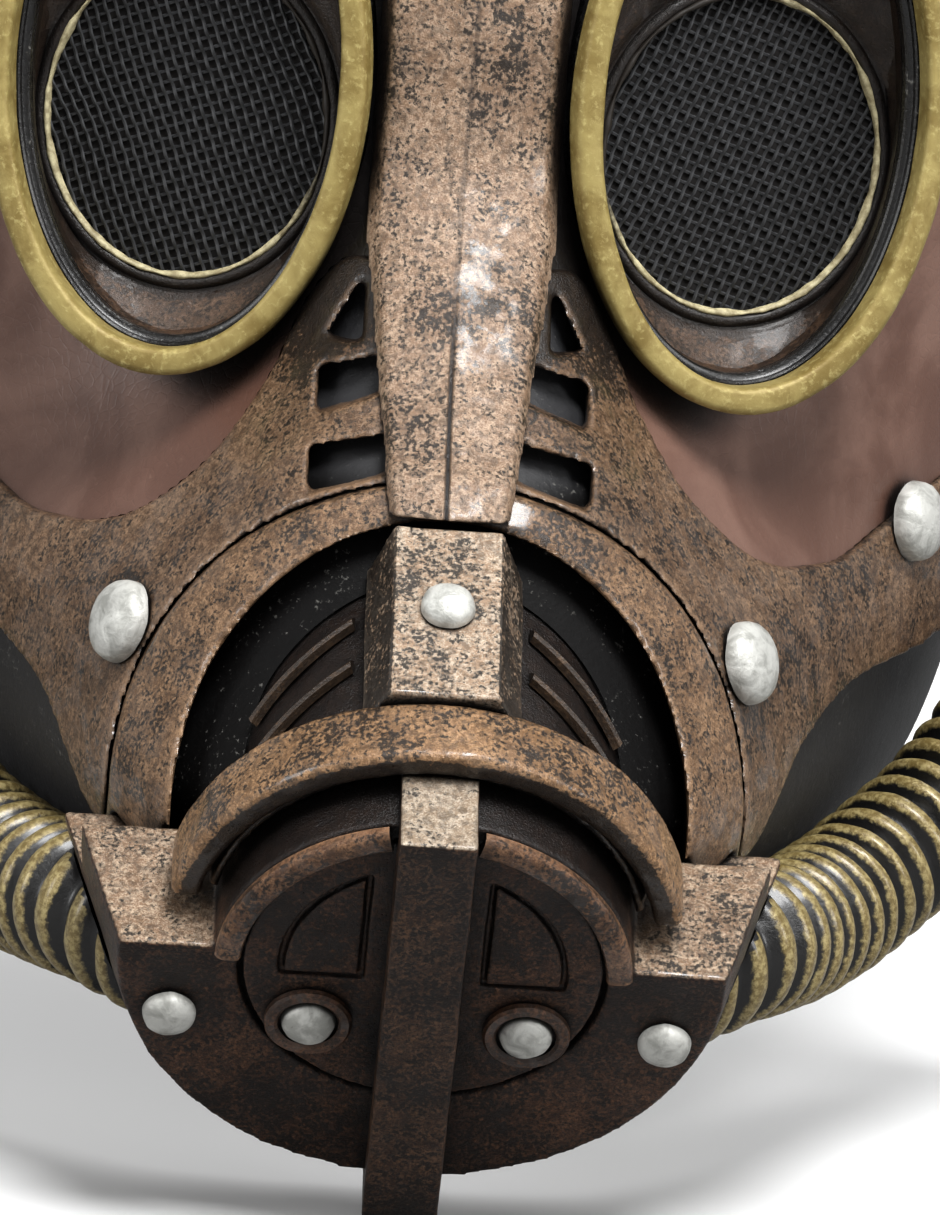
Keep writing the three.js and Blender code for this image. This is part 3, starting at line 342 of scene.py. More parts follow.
FRONT_VIEW = Matrix.Rotation(QUARTER, 4, "X")
DRUM = Matrix.Translation(BOX_FRONT) @ Matrix.Rotation(QUARTER + BOX_TILT, 4, "X")
across = Vector((math.cos(GOGGLE_TURN), math.sin(GOGGLE_TURN), 0))
outward = Vector((math.sin(GOGGLE_TURN), -math.cos(GOGGLE_TURN), 0))
GOGGLE = Matrix((across, (0, 0, 1), outward)).transposed().to_4x4()
GOGGLE.translation = EYE


def in_metres(matrix):
    scaled = matrix.copy()
    scaled.translation = matrix.translation * MM
    return scaled


def mirrored(obj, name):
    other = copied(obj, name)
    other.data.transform(Matrix.Scale(-1, 4, (1, 0, 0)))
    other.data.flip_normals()
    return other


def oval(wide, tall, low, high):
    turns = np.linspace(0, 2 * math.pi, 96, endpoint=False)
    return prism("oval", [(wide * math.cos(a), tall * math.sin(a)) for a in turns], low, high, GOGGLE)


def both(make, *args, **kw):
    tool = make(*args, **kw)
    return [tool, mirrored(tool, "other_side")]


def drum(name, radius_back, radius_front, back, front, spread=0):
    """A turned body round the drum's axis, its back spread sideways."""
    middle = (back + front) / 2 * MM
    obj = started(name, bpy.ops.mesh.primitive_cone_add, vertices=144, radius1=radius_back * MM,
                  radius2=radius_front * MM, depth=(front - back) * MM, location=(0, 0, middle))
    at_rest()
    for v in obj.data.vertices:
        if v.co.z < middle:
            v.co.x *= 1 + spread
    return place(obj, in_metres(DRUM))


def drum_body(grow, depth):
    body = drum("body", BOX_RADIUS + BOX_FLARE + grow, BOX_RADIUS + grow, -depth, grow, FLANK_SPREAD)
    reach, high, step = 2 * BOX_RADIUS, SHOULDER + grow, -SHOULDER_DEPTH - grow
    low = high - SHOULDER_STEP
    side = [(-reach, -reach), (high, -reach), (high, -step), (low, -step), (low, reach), (-reach, reach)]
    sideways = DRUM @ Matrix(((0, 0, 1, 0), (1, 0, 0, 0), (0, -1, 0, 0), (0, 0, 0, 1)))
    return carve(body, prism("below", side, -reach, reach, sideways), "INTERSECT")


def drum_form(grow):
    neck = drum("neck", NECK_RADIUS + grow, NECK_RADIUS + grow, -NECK_DEPTH - grow, grow)
    return carve(drum_body(grow, BOX_DEPTH + grow), neck, "UNION")


def mouth_prism(grow, rise, front=FACE_DEPTH, back=-FACE_DEPTH):
    wide, tall = MOUTH_WIDE + grow, MOUTH_TALL + rise
    corners = [(wide * math.cos(a), MOUTH_Z + tall * math.sin(a)) for a in np.linspace(0, math.pi, 65)]
    corners += [(-wide, -CHIN_DROP - 10), (wide, -CHIN_DROP - 10)]
    return prism("mouth", corners, back, front, FRONT_VIEW)


def face_sheet(name, lift, wall, low, high, widest, columns, rows):
    """A skin over the face, from a flat sheet laid over its form and thickened inwards."""
    obj = started(name, bpy.ops.mesh.primitive_grid_add, x_subdivisions=columns, y_subdivisions=rows, size=2)
    co = np.zeros(len(obj.data.vertices) * 3)
    obj.data.vertices.foreach_get("co", co)
    co = co.reshape(-1, 3)
    angle = np.sign(co[:, 0]) * np.abs(co[:, 0]) ** 1.25 * widest * QUARTER
    z = low + (high - low) * (co[:, 1] + 1) / 2
    obj.data.vertices.foreach_set("co", (face_lifted(angle, z, lift + 0 * angle) * MM).ravel())
    obj.data.update()
    return modifier(obj, "SOLIDIFY", thickness=wall * MM, offset=-1)


def between_edges(skin, bottom, top, raised=0):
    """Keeps what lies between two smooth edges across the face."""
    angle = np.linspace(-QUARTER, QUARTER, 181)
    out = np.stack([np.sin(angle), -np.cos(angle), 0 * angle], -1)
    sheets = []
    for reach in (FACE_HALF_WIDTH / 2, -FACE_HALF_WIDTH / 2):
        edges = (edge_height(*bottom, angle) + raised, edge_height(*top, angle))
        sheet = np.stack([face_point(angle, z) + out * reach for z in edges], 1)
        ends = sheet[[0, -1]] + np.array([0, 2 * PLATE_WALL, 0])
        sheets.append(np.concatenate([ends[:1], sheet, ends[1:]]))
    return carve(skin, band_solid("block", *sheets), "INTERSECT")


def face_core(lift):
    """Everything behind the face, from a lift of its surface inward."""
    turn = np.linspace(-1, 1, 121)
    z = np.linspace(-CHIN_DROP, BROW_RISE, 90)
    a, h = np.meshgrid(turn * QUARTER, z, indexing="ij")
    outer = face_lifted(a, h, lift + 0 * a)
    inner = face_point(a, h) + np.stack([-np.sin(a), np.cos(a), 0 * a], -1) * FACE_HALF_WIDTH / 2
    return band_solid("core", outer, inner)


def nose_wide(z):
    share = np.clip((z - NOSE_TAPER) / (NOSE_TIP - NOSE_TAPER), 0, 1)
    return NOSE_WIDE + (NOSE_TIP_WIDE - NOSE_WIDE) * share


def nose_skin(name, grow, lift_out, lift_in, crown, shoulder):
    share, z = np.meshgrid(np.linspace(-1, 1, 61), np.linspace(NOSE_TIP - grow, NOSE_TOP + grow, 120),
                           indexing="ij")
    base = face_point(angle_at(share * (nose_wide(z) + grow), z), z)
    edge = np.clip((1 - np.abs(share)) / shoulder, 0, 1) if shoulder else 1
    outer, inner = base.copy(), base.copy()
    seat = lift_in(z)
    outer[..., 1] -= seat + (lift_out - 0.35) * edge + 0.35 + crown * (1 - np.abs(share))
    inner[..., 1] -= seat
    return band_solid(name, outer, inner)


def hose_line():
    seat = HOSE_RADIUS - PLATE_WALL
    rows = np.array(HOSE_ROUTE)
    knots = face_lifted(rows[:, 0] * QUARTER, height_of(rows[:, 1]), seat + rows[:, 2] * HOSE_RADIUS)
    knots = np.concatenate([[HOSE_START], knots])
    ends = np.concatenate([[2 * knots[0] - knots[1]], knots, [2 * knots[-1] - knots[-2]]])
    line = []
    for p0, p1, p2, p3 in zip(ends, ends[1:], ends[2:], ends[3:]):
        d = [max(np.linalg.norm(b - a) ** 0.5, 1e-4) for a, b in ((p0, p1), (p1, p2), (p2, p3))]
        m1 = ((p1 - p0) / d[0] - (p2 - p0) / (d[0] + d[1]) + (p2 - p1) / d[1]) * d[1]
        m2 = ((p2 - p1) / d[1] - (p3 - p1) / (d[1] + d[2]) + (p3 - p2) / d[2]) * d[1]
        for t in np.linspace(0, 1, 16, endpoint=False):
            line.append((2 * t**3 - 3 * t**2 + 1) * p1 + (t**3 - 2 * t**2 + t) * m1
                        + (3 * t**2 - 2 * t**3) * p2 + (t**3 - t**2) * m2)
    line.append(knots[-1])
    return np.array(line)


def oval_loft(name, rows, matrix, steps):
    """A closed ring drawn out through rows of half width, half height, depth, shift and drop."""
    wide, tall, depth, shift, drop = rows[0]
    obj = started(name, bpy.ops.mesh.primitive_circle_add, vertices=steps, radius=MM)
    edit_all()
    bpy.ops.transform.resize(value=(wide, tall, 1), center_override=(0, 0, 0))
    bpy.ops.transform.translate(value=(shift * MM, -drop * MM, depth * MM))
    for before, row in zip(rows, rows[1:] + rows[:1]):
        drawn_out(row[3] - before[3], before[4] - row[4], row[2] - before[2])
        middle = Vector((row[3], -row[4], row[2])) * MM
        bpy.ops.transform.resize(value=(row[0] / before[0], row[1] / before[1], 1), center_override=middle)
    bpy.ops.mesh.select_all(action="SELECT")
    bpy.ops.mesh.remove_doubles(threshold=0.00001)
    faces_out()
    return place(obj, in_metres(matrix))


def turned(name, rows, matrix, steps=64):
    """A turned piece from rows of radius and height; a radius of nothing closes it."""
    obj = started(name, bpy.ops.mesh.primitive_circle_add, vertices=steps, radius=rows[0][0] * MM,
                  fill_type="NGON", location=(0, 0, rows[0][1] * MM))
    at_rest()
    edit_all()
    for (r0, z0), (r1, z1) in zip(rows, rows[1:]):
        drawn_out(0, 0, z1 - z0)
        bpy.ops.transform.resize(value=(r1 / r0, r1 / r0, 1), center_override=(0, 0, z1 * MM))
    faces_out()
    return place(obj, in_metres(matrix))


def arc_sweep(name, section, start, end, steps, slant=0):
    """Part of a ring about the drum's axis, spun from a section of radius and depth."""
    obj = started(name, bpy.ops.mesh.primitive_circle_add, vertices=len(section), radius=MM,
                  fill_type="NGON")
    for v, (radius, depth) in zip(obj.data.vertices, section):
        v.co = Vector((radius * math.sin(start), radius * math.cos(start), depth)) * MM
    edit_all()
    bpy.ops.mesh.spin(steps=steps, angle=end - start, center=(0, 0, 0), axis=(0, 0, 1))
    bpy.ops.mesh.select_all(action="SELECT")
    bpy.ops.mesh.remove_doubles(threshold=0.000005)
    faces_out()
    for v in obj.data.vertices:
        share = (math.atan2(v.co.x, v.co.y) - start) / (end - start)
        v.co.z += slant * share * MM
    return place(obj, in_metres(DRUM))


def joined(name, parts):
    work_on(parts[0])
    for part in parts[1:]:
        part.select_set(True)
    bpy.ops.object.join()
    return renamed(name)


def mouth_cuts():
    return [drum_form(GAP)] + both(hose_tube, HOSE_RADIUS + 0.7, "passage")


def laid_on_line(obj):
    """Bends a piece made along Z onto the hose's line."""
    line = hose_line()
    data = bpy.data.curves.new("hose_line", "CURVE")
    data.dimensions = "3D"
    spline = data.splines.new("POLY")
    spline.points.add(len(line) - 1)
    for point, place_ in zip(spline.points, line):
        point.co = (*(place_ * MM), 1)
    guide = added("hose_line", data)
    modifier(obj, "CURVE", object=guide, deform_axis="POS_Z")
    bpy.data.objects.remove(guide)
    return obj


def hose_length():
    line = hose_line()
    return np.linalg.norm(np.diff(line, axis=0), axis=1).sum()


def hose_tube(radius, name):
    """A plain tube along the hose's line."""
    stations = 30
    length = hose_length()
    rows = [(radius, length * i / stations) for i in range(stations + 1)]
    return laid_on_line(turned(name, rows, Matrix(), steps=24))


# ---------------------------------------------------------------- the face's layers
def face_shell():
    outer = -PLATE_WALL - GAP
    skin = face_sheet("rubber_face", outer, SHELL_WALL, -CHIN_DROP, BROW_RISE, 1, 150, 150)
    between_edges(skin, (EDGES, "bottom"), (EDGES, "top"))
    carve_all(skin, both(oval, RIM_WIDE - 2.6, RIM_TALL - 2.6, -60, 10))
    return carve_all(skin, mouth_cuts() + [drum("throat", NECK_RADIUS, NECK_RADIUS, -80, 0)])


def cup_passages():
    return both(oval, RIM_WIDE - CUP_INSET + GAP, RIM_TALL - CUP_INSET + GAP, -60, 10)


def leather_face():
    skin = face_sheet("leather_face", -LEATHER_SINK, LEATHER_WALL, -CHIN_DROP / 2, BROW_RISE, 1, 170, 170)
    between_edges(skin, (MUZZLE_EDGES, "top"), (EDGES, "top"), 0.1)
    return carve_all(skin, cup_passages())


def slot_corners(index):
    low = SLOT_LOWEST + index * SLOT_PITCH
    topmost = index == 2
    inside = float(nose_wide(low)) - 0.6 + SLOT_SIDE * (3 if topmost else 1)
    outside = SLOT_REACH - index * SLOT_SIDE
    if topmost:
        return [(inside, low), (outside, low), (inside, low + TOP_SLOT)]
    return [(inside, low + SLOT_DROOP), (outside, low), (outside, low + SLOT_HEIGHT),
            (inside, low + SLOT_DROOP + SLOT_HEIGHT * 0.85)]


def muzzle_plate():
    skin = face_sheet("muzzle_plate", 0, PLATE_WALL, -0.83 * CHIN_DROP, -0.08 * CHIN_DROP, 1, 240, 90)
    between_edges(skin, (MUZZLE_EDGES, "bottom"), (MUZZLE_EDGES, "top"))
    tools = mouth_cuts() + cup_passages() + [mouth_prism(ARCH_WIDTH + GAP, ARCH_RISE + GAP)]
    for index in range(3):
        tools += both(prism, "slot", slot_corners(index), -20, 80, FRONT_VIEW)
    carve_all(skin, tools)
    return thinned(cast(skin, 0.45, 5, 0.3, 0.12), 0.58)


def mouth_arch():
    band = face_sheet("mouth_arch", ARCH_RAISE, PLATE_WALL + ARCH_RAISE, -0.9 * CHIN_DROP,
                      -0.25 * CHIN_DROP, 0.5, 160, 90)
    carve(band, mouth_prism(ARCH_WIDTH, ARCH_RISE, FACE_DEPTH, -5), "INTERSECT")
    carve(band, mouth_prism(0, 0))
    floor = MOUTH_Z - ARCH_WIDTH
    corners = [(-60, -200), (60, -200), (60, floor), (-60, floor)]
    carve_all(band, mouth_cuts() + [prism("floor", corners, -FACE_DEPTH, FACE_DEPTH, FRONT_VIEW)])
    return cast(band, 0.4, 5, 0.25, 0.12)


def nose_seat(z):
    arch_top = MOUTH_Z + MOUTH_TALL + ARCH_RISE
    return 2 * GAP + ARCH_RAISE * np.clip((arch_top + 3 - z) / 2, 0, 1)


def nose_plate():
    return cast(nose_skin("nose_plate", 0, 2.2, nose_seat, 1.1, 0.12), 0.36, 3, 0.4)


# ---------------------------------------------------------------- the filter box
def panel_groove(line):
    def outline(inset):
        r, left, low = PANEL_RADIUS - inset, PANEL_INSET + inset, PANEL_FOOT + inset
        turns = np.linspace(math.asin(low / r), math.acos(left / r), 25)
        return [(left, low)] + [(r * math.cos(a), r * math.sin(a)) for a in turns]
    groove = prism("panel", outline(0), -0.8, 1, DRUM)
    return carve(groove, prism("panel_core", outline(line), -2, 2, DRUM))


def filter_box():
    box = drum_form(0)
    box.name = box.data.name = "filter_box"
    bore = NECK_RADIUS - BOX_WALL
    carve(box, drum_body(-BOX_WALL, BOX_DEPTH + 1))
    carve(box, drum("bore", bore, bore, -NECK_DEPTH - 1, -BOX_WALL))
    carve(box, drum("plate_seat", DISC_SEAT, DISC_SEAT, -1.4, 1))
    thinned(cast(box, 0.46, 3, 0.4), 0.42)
    plate = drum("plate", DISC_RADIUS, DISC_RADIUS, -1.7, 0.05)
    carve_all(plate, both(panel_groove, PANEL_LINE))
    thinned(cast(plate, 0.24, 2, 0.3), 0.6)
    return joined("filter_box", [box, plate])


def visor():
    inner, foot = VISOR_INNER, NECK_RADIUS + GAP
    section = [(foot, VISOR_BACK), (27.4, VISOR_BACK), (27.8, -12), (27.9, -8.5), (27.8, -5.1),
               (27.3, -4.4), (inner + 0.5, -4.4), (inner, -4.8), (inner, -8.6), (foot + 1, -8.6),
               (foot + 1, -6.6), (foot, -6.6)]
    obj = arc_sweep("visor", section, math.radians(-80), math.radians(80), 120)
    return cast(obj, 0.4, 3, 0.3)


def louvre(index):
    foot, middle = NECK_RADIUS + GAP, -31 + index * 6.6
    section = [(foot, middle - 0.9), (foot + 0.9, middle - 0.1), (foot + 1.1, middle + 0.3),
               (foot + 0.8, middle + 0.7), (foot, middle + 0.9)]
    return arc_sweep("louvre", section, math.radians(24.5), math.radians(58), 40, 7)


def plate_rim():
    inner = NECK_RADIUS - 2.8
    start = math.asin(4.45 / inner)
    section = [(inner, GAP), (NECK_RADIUS, GAP), (NECK_RADIUS, 1.1), (22, 1.5), (21.5, 1.7), (20.2, 1.7),
               (19.75, 1.5), (inner, 1)]
    return arc_sweep("plate_rim", section, start, math.radians(86), 60)


RIVET_ROWS = [(1, 0), (1.0, 0.12), (0.985, 0.3), (0.93, 0.52), (0.82, 0.7), (0.66, 0.84), (0.46, 0.94),
              (0.24, 0.99), (0.06, 1)]


def rivet(diameter, matrix, name):
    rows = [(r * diameter / 2, h * diameter * 0.34) for r, h in RIVET_ROWS]
    return lumps(turned(name, rows, matrix), 0.25, clouds("rivet_lumps", 0.0022), "GLOBAL")


def looking(normal, at):
    """A place whose Z runs along a direction."""
    matrix = Vector(normal).to_track_quat("Z", "Y").to_matrix().to_4x4()
    matrix.translation = Vector(at)
    return matrix


def face_rivet(x, z, name):
    x, z = np.array(float(x)), np.array(float(z))
    a = angle_at(x, z)
    return rivet(LARGE_RIVET, looking(face_normal(a, z), face_lifted(a, z, GAP)), name)


def washer():
    rows = [(3.25, 0), (4.75, 0), (4.7, 0.6), (4.4, 0.9), (3.6, 0.9), (3.25, 0.6)]
    at = DRUM @ Matrix.Translation((DISC_RIVET_X, -BOX_RIVET_DROP, GAP))
    return oval_loft("disc_washer", [(r, r, z, 0, 0) for r, z in rows], at, 64)


# ---------------------------------------------------------------- goggles
def rim_rows(*rows):
    return [(RIM_WIDE - inset, RIM_TALL - inset, depth, 0, 0) for inset, depth in rows]


def goggle_rim():
    rows = rim_rows((3, -3.5), (0, -3.5), (0, -0.9), (0.12, -0.45), (0.45, -0.12), (0.8, 0), (2.3, 0.02),
                    (2.65, -0.1), (2.9, -0.4), (3, -0.9))
    return lumps(oval_loft("goggle_rim", rows, GOGGLE, 192), 0.25)


def eye_cup():
    rows = rim_rows((1, -30), (0.95, -5), (1.05, -4), (1.4, -3.85), (3.1, -3.85), (3.3, -4.05), (3.35, -4.7),
                    (3.6, -4.9), (3.9, -4.95), (4.1, -5.2), (4.1, -6.2), (3.9, -6.35), (2.6, -6.35),
                    (2.6, -30))
    cup = oval_loft("eye_cup", rows, GOGGLE, 160)
    nose = nose_skin("clear", GAP, 9.35, lambda z: -PLATE_WALL - 1 + 0 * z, 0, None)
    return carve_all(cup, [nose, face_core(-PLATE_WALL)])


def opening(grow, depth):
    return (OPENING_WIDE + grow, OPENING_TALL + grow, depth, OPENING_SHIFT, OPENING_DROP)


def funnel_row(share, depth, grow=0):
    mouth = (RIM_WIDE - 2.95 - FUNNEL_WALL + grow, RIM_TALL - 2.95 - FUNNEL_WALL + grow)
    low = (OPENING_WIDE + 2.2, OPENING_TALL + 2.2)
    mix = [mouth[k] * (1 - share) + low[k] * share for k in (0, 1)]
    return (*mix, depth, OPENING_SHIFT * share, OPENING_DROP * share)


def eye_funnel():
    bowl = ((0, -6.7), (0.04, -7.6), (0.2, -8.9), (0.5, -9.9), (0.8, -10.5), (1, -10.7))
    lip = ((1.9, -11.3), (1.5, -11.35), (1.2, -10.9), (0.6, -10.8), (0.1, -11.2), (0, -12.2), (1.1, -12.2))
    rows = [funnel_row(0, -6.7, FUNNEL_WALL)] + [funnel_row(*row) for row in bowl]
    rows += [opening(*row) for row in lip]
    return lumps(oval_loft("eye_funnel", rows, GOGGLE, 160), 0.5)


def mark_funnel(obj):
    """Says how near the opening each point lies, and how low."""
    near = obj.data.attributes.new("near_opening", "FLOAT", "POINT")
    low = obj.data.attributes.new("low", "FLOAT", "POINT")
    back = GOGGLE.inverted()
    for v in obj.data.vertices:
        x, y = (back @ (v.co / MM))[:2]
        near.data[v.index].value = math.hypot((x - OPENING_SHIFT) / OPENING_WIDE,
                                              (y + OPENING_DROP) / OPENING_TALL)
        low.data[v.index].value = -y / RIM_TALL
    return obj


def opening_edge():
    bead = ((0.3, -11.2), (0.15, -10.85), (-0.05, -10.8), (-0.3, -11), (-0.4, -11.6), (0.2, -12.1))
    rows = [opening(*row) for row in bead]
    return lumps(oval_loft("opening_edge", rows, GOGGLE, 256), 0.8, clouds("ragged", 0.0035, 3))


def net_wires(name):
    """Half of a plain weave: wires side by side, each a wave against its neighbour."""
    pitch, rise, cells = NET_PITCH, NET_RISE, NET_CELLS
    obj = started(name, bpy.ops.mesh.primitive_circle_add, vertices=5, radius=NET_WIRE * MM,
                  rotation=(0, QUARTER, 0))
    at_rest()
    edit_all()
    points = 6
    for i in range(points):
        step = 2 * pitch / points
        lift = rise * (math.cos(2 * math.pi * (i + 1) / points) - math.cos(2 * math.pi * i / points))
        drawn_out(step, 0, lift)
    bpy.ops.mesh.select_all(action="DESELECT")
    edit_done()
    repeated(obj, cells, (2 * pitch, 0, 0), 0.00001)
    twin = work_on(copied(obj, "twin"))
    edit_all()
    bpy.ops.transform.translate(value=(pitch * MM, pitch * MM, 0))
    edit_done()
    obj = joined(name, [obj, twin])
    repeated(obj, cells, (0, 2 * pitch, 0))
    work_on(obj)
    edit_all()
    half = (cells * pitch) * MM
    bpy.ops.transform.translate(value=(-half, -half + pitch * MM / 2, 0))
    bpy.ops.transform.rotate(value=NET_TURN, orient_axis="Z", center_override=(0, 0, 0))
    edit_done()
    return obj


def net():
    """The woven wire net, cut to the opening."""
    warp, weft = net_wires("warp"), net_wires("weft")
    for v in weft.data.vertices:
        v.co.z = -v.co.z
    weft.data.transform(Matrix.Rotation(QUARTER, 4, "Z"))
    obj = joined("net", [warp, weft])
    work_on(obj)
    for v in obj.data.vertices:
        v.co.x *= 1 + 0.02 * math.sin(v.co.y * 400)
        v.co.y += 0.0006 * math.sin(v.co.x * 160)
    bpy.ops.object.mode_set(mode="EDIT")
    bpy.ops.mesh.select_all(action="DESELECT")
    edit_done()
    for v in obj.data.vertices:
        v.select = (v.co.x / (OPENING_WIDE + 0.8)) ** 2 + (v.co.y / (OPENING_TALL + 0.8)) ** 2 > MM * MM
    bpy.ops.object.mode_set(mode="EDIT")
    bpy.ops.mesh.delete(type="VERT")
    edit_done()
    return place(obj, in_metres(GOGGLE @ Matrix.Translation((OPENING_SHIFT, -OPENING_DROP, -12.25))))


# ---------------------------------------------------------------- hoses and strap
def ribbed_hose():
    length = hose_length()
    ribs = round(length / HOSE_PITCH)
    pitch = length / ribs
    shape = [(0, 0), (0.07, 0.06), (0.15, 0.24), (0.23, 0.56), (0.32, 0.86), (0.42, 1),
             (0.58, 1), (0.68, 0.86), (0.77, 0.56), (0.85, 0.24), (0.93, 0.06), (1, 0)]
    low = HOSE_RADIUS - HOSE_GROOVE
    obj = started("hose", bpy.ops.mesh.primitive_circle_add, vertices=56, radius=low * MM)
    edit_all()
    for (z0, h0), (z1, h1) in zip(shape, shape[1:]):
        drawn_out(0, 0, (z1 - z0) * pitch)
        grow = (low + HOSE_GROOVE * h1) / (low + HOSE_GROOVE * h0)
        bpy.ops.transform.resize(value=(grow, grow, 1), center_override=(0, 0, z1 * pitch * MM))
    edit_done()
    crest = obj.data.attributes.new("crest", "FLOAT", "POINT")
    for v in obj.data.vertices:
        crest.data[v.index].value = (math.hypot(v.co.x, v.co.y) / MM - low) / HOSE_GROOVE
    repeated(obj, ribs, (0, 0, pitch), 0.00002)
    laid_on_line(obj)
    work_on(obj)
    edit_all()
    bpy.ops.mesh.fill_holes(sides=0)
    faces_out()
    lumps(obj, 0.5)
    return carve(obj, drum_form(GAP))


def hose_socket():
    line = hose_line()
    bore, outer = HOSE_RADIUS + GAP, HOSE_RADIUS + GAP + 1.5
    rows = [(0.5, GAP), (bore, GAP), (bore, -6), (outer - 0.3, -6), (outer, -5.6), (outer, 4),
            (outer - 0.9, 6), (outer - 3, 7), (0.5, 7)]
    return turned("hose_socket", rows, looking(line[-1] - line[-2], line[-1]))


def head_strap():
    """A wide elastic band, from a flat sheet laid round the head."""
    side = face_point(np.array(QUARTER), np.array(0.0))
    start = side[0] + GAP
    turn = np.linspace(0, QUARTER, 60)
    x = start * np.clip(np.cos(turn), 0, 1) ** 0.8
    y = side[1] + (STRAP_REACH - side[1]) * np.sin(turn)
    lift = STRAP_LIFT * turn / QUARTER
    x = np.concatenate([[start - 1.2, start - 0.5], x])
    y = np.concatenate([[62, (62 + side[1]) / 2], y])
    lift = np.concatenate([[0, 0], lift])
    path = np.stack([x, y, lift], -1)
    path = np.concatenate([path, (path * [-1, 1, 1])[-2::-1]])
    along = np.concatenate([[0], np.cumsum(np.linalg.norm(np.diff(path, axis=0), axis=1))])
    obj = started("head_strap", bpy.ops.mesh.primitive_grid_add, x_subdivisions=260, y_subdivisions=10, size=2)
    for v in obj.data.vertices:
        s = (v.co.x + 1) / 2 * along[-1]
        spot = [np.interp(s, along, path[:, k]) for k in range(3)]
        v.co = Vector((spot[0], spot[1], spot[2] + v.co.y * STRAP_WIDTH / 2)) * MM
    for loop in obj.data.uv_layers[0].data:
        loop.uv = (loop.uv[0] * along[-1], loop.uv[1] * STRAP_WIDTH)
    modifier(obj, "SOLIDIFY", thickness=STRAP_THICK * MM, offset=1)
    edit_all()
    faces_out()
    return modifier(obj, "BEVEL", width=0.5 * MM, segments=3, limit_method="ANGLE",
                    angle_limit=math.radians(40))


# ---------------------------------------------------------------- paint and rubber
def tint(r, g, b):
    """A colour as read off a screen, for the shader."""
    shares = [c / 255 for c in (r, g, b)]
    return tuple(c / 12.92 if c < 10.3 / 255 else ((c + 0.055) / 1.055) ** 2.4 for c in shares) + (1,)


class Bench:
    """Puts nodes on a tree and wires them."""

    def __init__(self, tree):
        self.tree = tree

    def put(self, kind, wires=None, **settings):
        node = self.tree.nodes.new(kind)
        for key, value in settings.items():
            setattr(node, key, value)
        for key, value in (wires or {}).items():
            if isinstance(value, bpy.types.NodeSocket):
                self.tree.links.new(value, node.inputs[key])
            else:
                node.inputs[key].default_value = value
        return node

    def noise(self, coords, scale, detail=4, rough=0.6, warp=0.0):
        wires = {"Vector": coords, "Scale": scale, "Detail": detail, "Roughness": rough, "Distortion": warp}
        return self.put("ShaderNodeTexNoise", wires).outputs["Fac"]

    def step(self, value, low, high, to_low=0.0, to_high=1.0):
        wires = {"Value": value, "From Min": low, "From Max": high, "To Min": to_low, "To Max": to_high}
        return self.put("ShaderNodeMapRange", wires, interpolation_type="SMOOTHSTEP").outputs["Result"]

    def math(self, how, a, b=0.0, c=0.0):
        return self.put("ShaderNodeMath", {0: a, 1: b, 2: c}, operation=how).outputs[0]

    def scaled(self, a, by, plus):
        return self.math("MULTIPLY_ADD", a, by, plus)

    def times(self, a, b):
        return self.math("MULTIPLY", a, b)

    def plus(self, a, b):
        return self.math("ADD", a, b)

    def less(self, a, b):
        return self.math("SUBTRACT", a, b)

    def size(self, a):
        return self.math("ABSOLUTE", a)

    def sine(self, a):
        return self.math("SINE", a)

    def spot(self, coords):
        """A vector's three numbers."""
        return self.put("ShaderNodeSeparateXYZ", {0: coords}).outputs

    def mark(self, name):
        """A value that the mesh itself carries."""
        return self.put("ShaderNodeAttribute", attribute_name=name).outputs["Fac"]

    def normal(self):
        return self.put("ShaderNodeNewGeometry").outputs["Normal"]

    def seen(self):
        """One for the camera's own rays."""
        return self.put("ShaderNodeLightPath").outputs["Is Camera Ray"]

    def along(self, a, b):
        """How far one direction runs along another."""
        return self.put("ShaderNodeVectorMath", {0: a, 1: b}, operation="DOT_PRODUCT").outputs["Value"]

    def from_box_front(self, coords):
        return self.put("ShaderNodeVectorMath", {0: coords, 1: tuple(-BOX_FRONT * MM)},
                        operation="ADD").outputs[0]

    def group(self, tree, **wires):
        return self.put("ShaderNodeGroup", wires, node_tree=tree).outputs

    def blend(self, share, a, b):
        return self.put("ShaderNodeMix", {0: share, 6: a, 7: b}, data_type="RGBA").outputs[2]


def new_group(name, inputs, outputs):
    tree = bpy.data.node_groups.new(name, "ShaderNodeTree")
    for label, kind, value in inputs:
        socket = tree.interface.new_socket(label, in_out="INPUT", socket_type=kind)
        if value is not None:
            socket.default_value = value
    for label, kind in outputs:
        tree.interface.new_socket(label, in_out="OUTPUT", socket_type=kind)
    bench = Bench(tree)
    return tree, bench, bench.put("NodeGroupInput").outputs, bench.put("NodeGroupOutput").inputs


COLOUR, NUMBER, VECTOR = "NodeSocketColor", "NodeSocketFloat", "NodeSocketVector"


def wear_and_shade_group():
    """Where edges are rubbed bright, and where corners darken: black paint in the hollows and painted shade.
    """
    tree, bench, given, made = new_group("wear_and_shade", [("Reach", NUMBER, 0.004)],
                                         [("Corner", NUMBER), ("Edge", NUMBER)])
    near = bench.put("ShaderNodeAmbientOcclusion", {"Distance": given["Reach"]}, samples=4)
    inner = bench.put("ShaderNodeAmbientOcclusion", {"Distance": 0.001}, samples=4, inside=True,
                      only_local=True)
    tree.links.new(bench.step(near.outputs["AO"], 0.86, 0.4), made["Corner"])
    tree.links.new(bench.step(inner.outputs["AO"], 0.72, 0.3), made["Edge"])
    return tree


